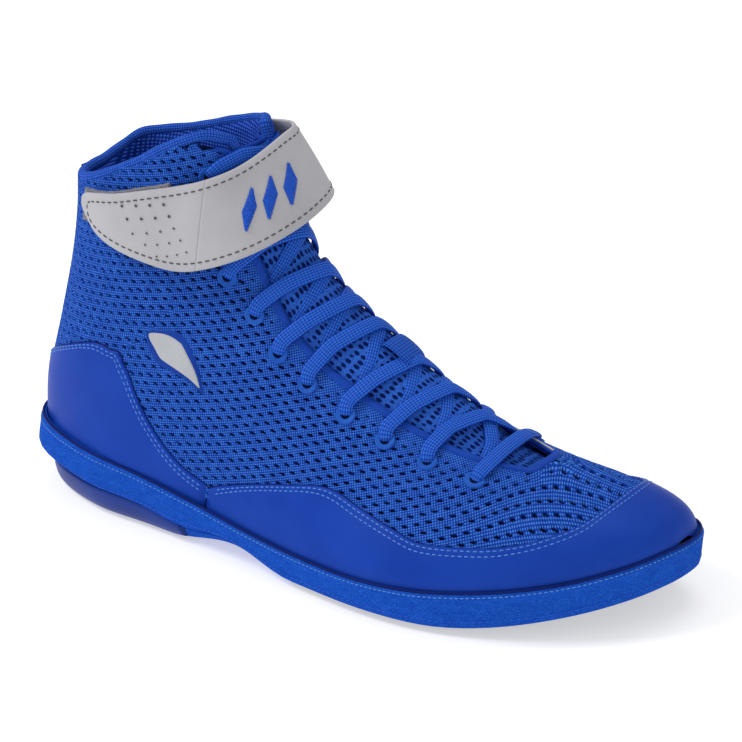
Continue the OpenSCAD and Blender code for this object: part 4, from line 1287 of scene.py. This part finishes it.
def piping():
    s = station(LOOP_T)
    mid = OVERLAY_OUT + 0.45 + 0.9
    q = outline(LOOP_T, spline(RAND_FLARE, s) + mid - 0.35)
    z = spline(RAND_TOP, s) + 0.5
    cord = tube(np.concatenate([q, z[:, None]], 1), 0.6, 12, closed=True)
    obj = mesh("rand_piping_cord", *sweep(cord, closed=True))
    dress(obj, PIPING, replaces=("rand_piping",))


def both_sides(first, last, count):
    t = np.linspace(first, last, count)
    return np.concatenate([t, 26 - t[::-1]])


def sole_rings(t, levels, lifted=True):
    """Rings round part of the outline; a level is (distance outside the edge, share of the lift)."""
    rings = []
    for out, share in levels:
        q = outline(t, out - tuck(t))
        rise = share * (lift(t) - 0.15) if lifted else share
        rings.append(np.concatenate([q, (under(q[:, 0]) + TREAD_T + rise)[:, None]], 1))
    return np.stack(rings)


def pods():
    heel = sole_rings(both_sides(9.3, 12.94, 60), [(-6, 0), (-3, 0), (-1.6, 0.05), (-0.6, 0.12), (0.3, 0.24),
        (1.2, 0.42), (1.8, 0.64), (2.1, 0.84), (2.15, 0.97), (1.6, 1.0)])
    dress(mesh("heel_pod_rubber", *sweep(heel)), HEEL_RUBBER, replaces=("heel_pod",))
    fore = sole_rings(both_sides(0.08, 7.3, 70),
        [(-5, 0), (-2.4, 0.1), (-0.9, 0.5), (-0.2, 1.1), (-0.1, 1.6)], False)
    dress(mesh("forefoot_pod_rubber", *sweep(fore)), FORE_RUBBER, replaces=("forefoot_pod",))
    arch = sole_rings(both_sides(7.35, 9.25, 24),
        [(-2.6, 0), (-1.0, 0.12), (0.4, 0.5), (1.2, 0.85), (1.2, 0.95)])
    dress(mesh("suede_arch_wrap", *sweep(arch)), SUEDE, replaces=("suede_arch",))


def sock():
    t = both_sides(0.08, 12.92, 80)
    rings = []
    for out, rise in ((-5, -0.7), (-4.6, 0.6), (-5.2, 1.9), (-7, 2.5), (-10, 2.6)):
        rings.append(np.concatenate([outline(t, out + 0 * t), (board_z(t) + rise)[:, None]], 1))
    dress(mesh("sock_insert", *sweep(np.stack(rings))), PAD_KNIT, replaces=("sockliner",))


# ---------- strap ----------
def strap_point(t, share, out):
    low, high, outward = strap_frame(t)
    crown = 0.5 * np.sin(np.pi * np.clip(share, 0, 1))
    rise = np.asarray(out) + crown - 0.3
    return low + (high - low) * np.asarray(share)[..., None] + outward * rise[..., None]


TAIL_END = 16.2


def tail_close(t, first, most):
    """How far an edge closes in towards the tail's rounded end, as a share of the width."""
    q = np.clip((np.asarray(t, float) - first) / (TAIL_END - first), 0, 1)
    return most * (1 - np.sqrt(1 - q**2 * 0.998))


def tail_edges(t):
    """Shares of the low and high edge at t."""
    return tail_close(t, 15.3, 0.5), 1 - tail_close(t, 15.8, 0.12)


def strap_rings(t):
    edge = np.linspace(0, 1, 13)
    width = np.linalg.norm(strap_frame(t)[1] - strap_frame(t)[0], axis=1)
    roll = 0.75
    rings = []
    for share, out in [(e, 0) for e in edge] + [(e, -STRAP_T) for e in edge[::-1]]:
        first, last = tail_edges(t)
        s = first + roll / width + (last - first - 2 * roll / width) * share
        rings.append(strap_point(t, s, np.full(len(t), float(out))))
        if share in (0, 1):
            step = -roll / width if share == 0 else roll / width
            order = ((0.6, -0.25), (1.0, -0.8), (0.6, -STRAP_T + 0.25))
            if out == 0 and share == 1:
                rings += [strap_point(t, s + step * k, np.full(len(t), h)) for k, h in order]
            if out != 0 and share == 0:
                rings += [strap_point(t, s + step * k, np.full(len(t), h)) for k, h in order[::-1]]
    return np.stack(rings, 1)


def strap_seam(first, last, inset, ends=False):
    """Stitch paths inside both edges, joined round the tail."""
    t = np.linspace(first, last, 160)
    low, high, out = strap_frame(t)
    width = np.linalg.norm(high - low, axis=1)
    first_share, last_share = tail_edges(t)
    a = strap_point(t, first_share + inset / width, np.full(len(t), 0.05))
    b = strap_point(t, last_share - inset / width, np.full(len(t), 0.05))
    if not ends:
        return [(a, out), (b, out)]
    return [(np.concatenate([a, b[::-1]]), np.concatenate([out, out[::-1]]))]


def strap_piece(name, first, last, nodes, seams):
    t = np.linspace(first, last, int((last - first) * 14) + 1)
    rings = strap_rings(t)
    p, f = sweep(rings)
    mid = distance_along(strap_point(np.linspace(0, 16, 400), np.full(400, 0.5), np.zeros(400)))
    along = np.interp(t, np.linspace(0, 16, 400), mid)
    uv = np.stack(np.meshgrid(along, np.linspace(0, 56, rings.shape[1]), indexing="ij"), -1).reshape(-1, 2)
    obj = dress(mesh(name, p, f, uv), STRAP, body=None, replaces=nodes)
    thread = stitches(name + "_stitches", seams, THREAD_DARK, 3.1, 2.1, 0.3, body=None)
    for piece in (obj, thread):
        blend_at_fold(piece)
    return obj


def blend_at_fold(obj):
    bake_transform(obj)


STRAP_JOIN = 10.9


def strap():
    inset = 3.4
    strap_piece("strap_wrap_leather", 0, STRAP_JOIN,
        ("strap_base",), strap_seam(0.15, STRAP_JOIN, inset))
    strap_piece("strap_tail_leather", STRAP_JOIN, TAIL_END - 0.01,
        ("strap_front", "strap_tip"), strap_seam(STRAP_JOIN, 15.7, inset, ends=True))
    t = np.linspace(12.5, 15.4, 30)
    share = np.linspace(0.16, 0.84, 12)
    tt, ss = np.meshgrid(t, share, indexing="ij")
    grid = strap_point(tt.ravel(), ss.ravel(), np.full(tt.size, -STRAP_T - 0.1)).reshape(30, 12, 3)
    low = strap_point(tt.ravel(), ss.ravel(), np.full(tt.size, -STRAP_T - 0.75)).reshape(30, 12, 3)
    p, f = sweep(np.concatenate([grid, low[:, ::-1]], 1))
    dress(mesh("hook_tape_pile", p, f), HOOK, body="strap_tail", replaces=("hook_tape",))


# Rows of four punched holes: first and last share up the strap, first and last knot, radius
HOLE_ROWS = ((0.8, 0.8, 13.74, 12.33, 0.72), (0.6, 0.655, 13.56, 12.12, 0.7),
    (0.39, 0.51, 13.38, 11.92, 0.56), (0.27, 0.37, 12.95, 11.63, 0.5), (0.15, 0.23, 12.53, 11.34, 0.46))


def holes_in_tail():
    """Punched breathing holes near the tail, smaller in the lower rows, with pressed rims; each hole is a
    flat disc in the dark grey hook tape finish, painted shade for its depth.
    """
    a = np.arange(20) / 20 * 2 * math.pi
    holes, rims = [], []
    for low_share, high_share, first, last, radius in HOLE_ROWS:
        for t, share in zip(np.linspace(first, last, 4), np.linspace(low_share, high_share, 4)):
            knot = np.array([t])
            centre = strap_point(knot, np.array([share]), np.array([0.0]))[0]
            low, high, out = (v[0] for v in strap_frame(knot))
            up = unit(high - low)
            ring = np.cross(up, out) * np.cos(a)[:, None] + up * np.sin(a)[:, None]
            holes.append(centre + ring * radius + out * 0.1)
            rim_path = centre + ring * (radius + 0.08) + out * 0.04
            rims.append(tube(rim_path, 0.15, 6, closed=True).reshape(-1, 3))
    order = [list(range(k * 20, k * 20 + 20)) for k in range(len(holes))]
    # the holes are flat dark discs on the strap face: painted shade, not cut holes
    dark = mesh("punched_hole_shade_discs", np.concatenate(holes), order, smooth=False)
    rim_faces = np.concatenate([grid_faces(20, 6, True, True) + k * 120 for k in range(len(rims))])
    edge = mesh("punched_rims", np.concatenate(rims), rim_faces)
    for obj, finish in ((dark, HOOK), (edge, STRAP)):
        dress(obj, finish, body=None)
        blend_at_fold(obj)


def satin_motif():
    """Three slim lozenges filled with satin stitches, side by side on the strap's front."""
    seams = []
    for centre in (9.0, 8.15, 7.3):
        for share in np.arange(0.25, 0.72, 0.0155):
            place = (share - 0.485) / 0.235
            half = 0.3 * (1 - abs(place))
            if half < 0.03:
                continue
            middle = centre - 0.14 * place
            t = np.linspace(middle - half, middle + half, 6)
            out = strap_frame(t)[2]
            slanted = share + 0.012 * np.linspace(-1, 1, 6)
            seams.append((strap_point(t, slanted, np.full(6, 0.25)), out))
    threads(seams)


def threads(seams):
    points, faces, count = [], [], 0
    for path, out in seams:
        lift = np.array([-0.2, 0.2, 0.35, 0.35, 0.2, -0.2])[:, None]
        p, f = sweep(tube(path + out * lift, 0.27, 6))
        points.append(p)
        faces += [[k + count for k in face] for face in f]
        count += len(p)
    dress(mesh("satin_lozenges", np.concatenate(points), faces), THREAD_BLUE,
        body="strap_wrap", replaces=("strap_motif",))


# ---------- patches and marks ----------
def loop_patch():
    grid = patch(PATCH_LOW, PATCH_HIGH, 60, np.linspace(0, 1, 24))
    obj = panel("loop_pile_patch", grid, 1.0, ("high", "low", "ends"), 0.7)
    rng = np.random.default_rng(4)
    co = np.array([v.co for v in obj.data.vertices])
    co += rng.normal(0, 0.12 * MM, co.shape)
    obj.data.vertices.foreach_set("co", co.ravel())
    dress(obj, FUZZ, replaces=("loop_patch",))


def lozenge(grow, rows=41, cols=13):
    """Grid of a plain lozenge on the outer side, with softened tips, drawn larger by a share."""
    first, left, last, right = np.array(MARK_CORNERS)
    share = np.linspace(-0.97, 0.97, rows)[:, None, None]
    half = (1 + grow) * np.maximum(1 - abs(share) ** 1.25, 0.06)
    across = np.linspace(-1, 1, cols)[None, :, None]
    lengthwise = (last - first) / 2 * share * (1 + 0.25 * grow)
    return (first + last) / 2 + lengthwise + (right - left) / 2 * half * across


def side_mark():
    """A plain pale lozenge on a slightly larger welded border."""
    weld = panel("mark_weld", lozenge(0.45), 0.45, ("high", "low", "ends"), 0.8)
    dress(weld, WELD)
    film = panel("mark_lozenge", lozenge(0.0), 0.85, ("high", "low", "ends"), 0.6)
    dress(film, MARK, replaces=("side_mark",))


def carried_nodes():
    """CAD nodes that stay as they are get their own finish."""
    finishes = {"heel_tread": (HEEL_RUBBER, "rubber"), "forefoot_tread": (FORE_RUBBER, "rubber"),
        "midsole": (FOAM, "foam"), "insole_board": (BOARD, "board"), "heel_counter": (BOARD, "board")}
    for node, (finish, slot) in finishes.items():
        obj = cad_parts[node]
        obj.data.materials.clear()
        obj.data.materials.append(finish)


camera()
studio()
cloth = Cloth()
mesh_fabric(cloth)
overlays()
inner_layers()
eyestays()
eyelet_rings()
flat_lace()
padded_tongue()
lace_loop()
collar_binding()
collar_pad()
suede_rand()
piping()
pods()
sock()
strap()
holes_in_tail()
satin_motif()
loop_patch()
side_mark()
carried_nodes()
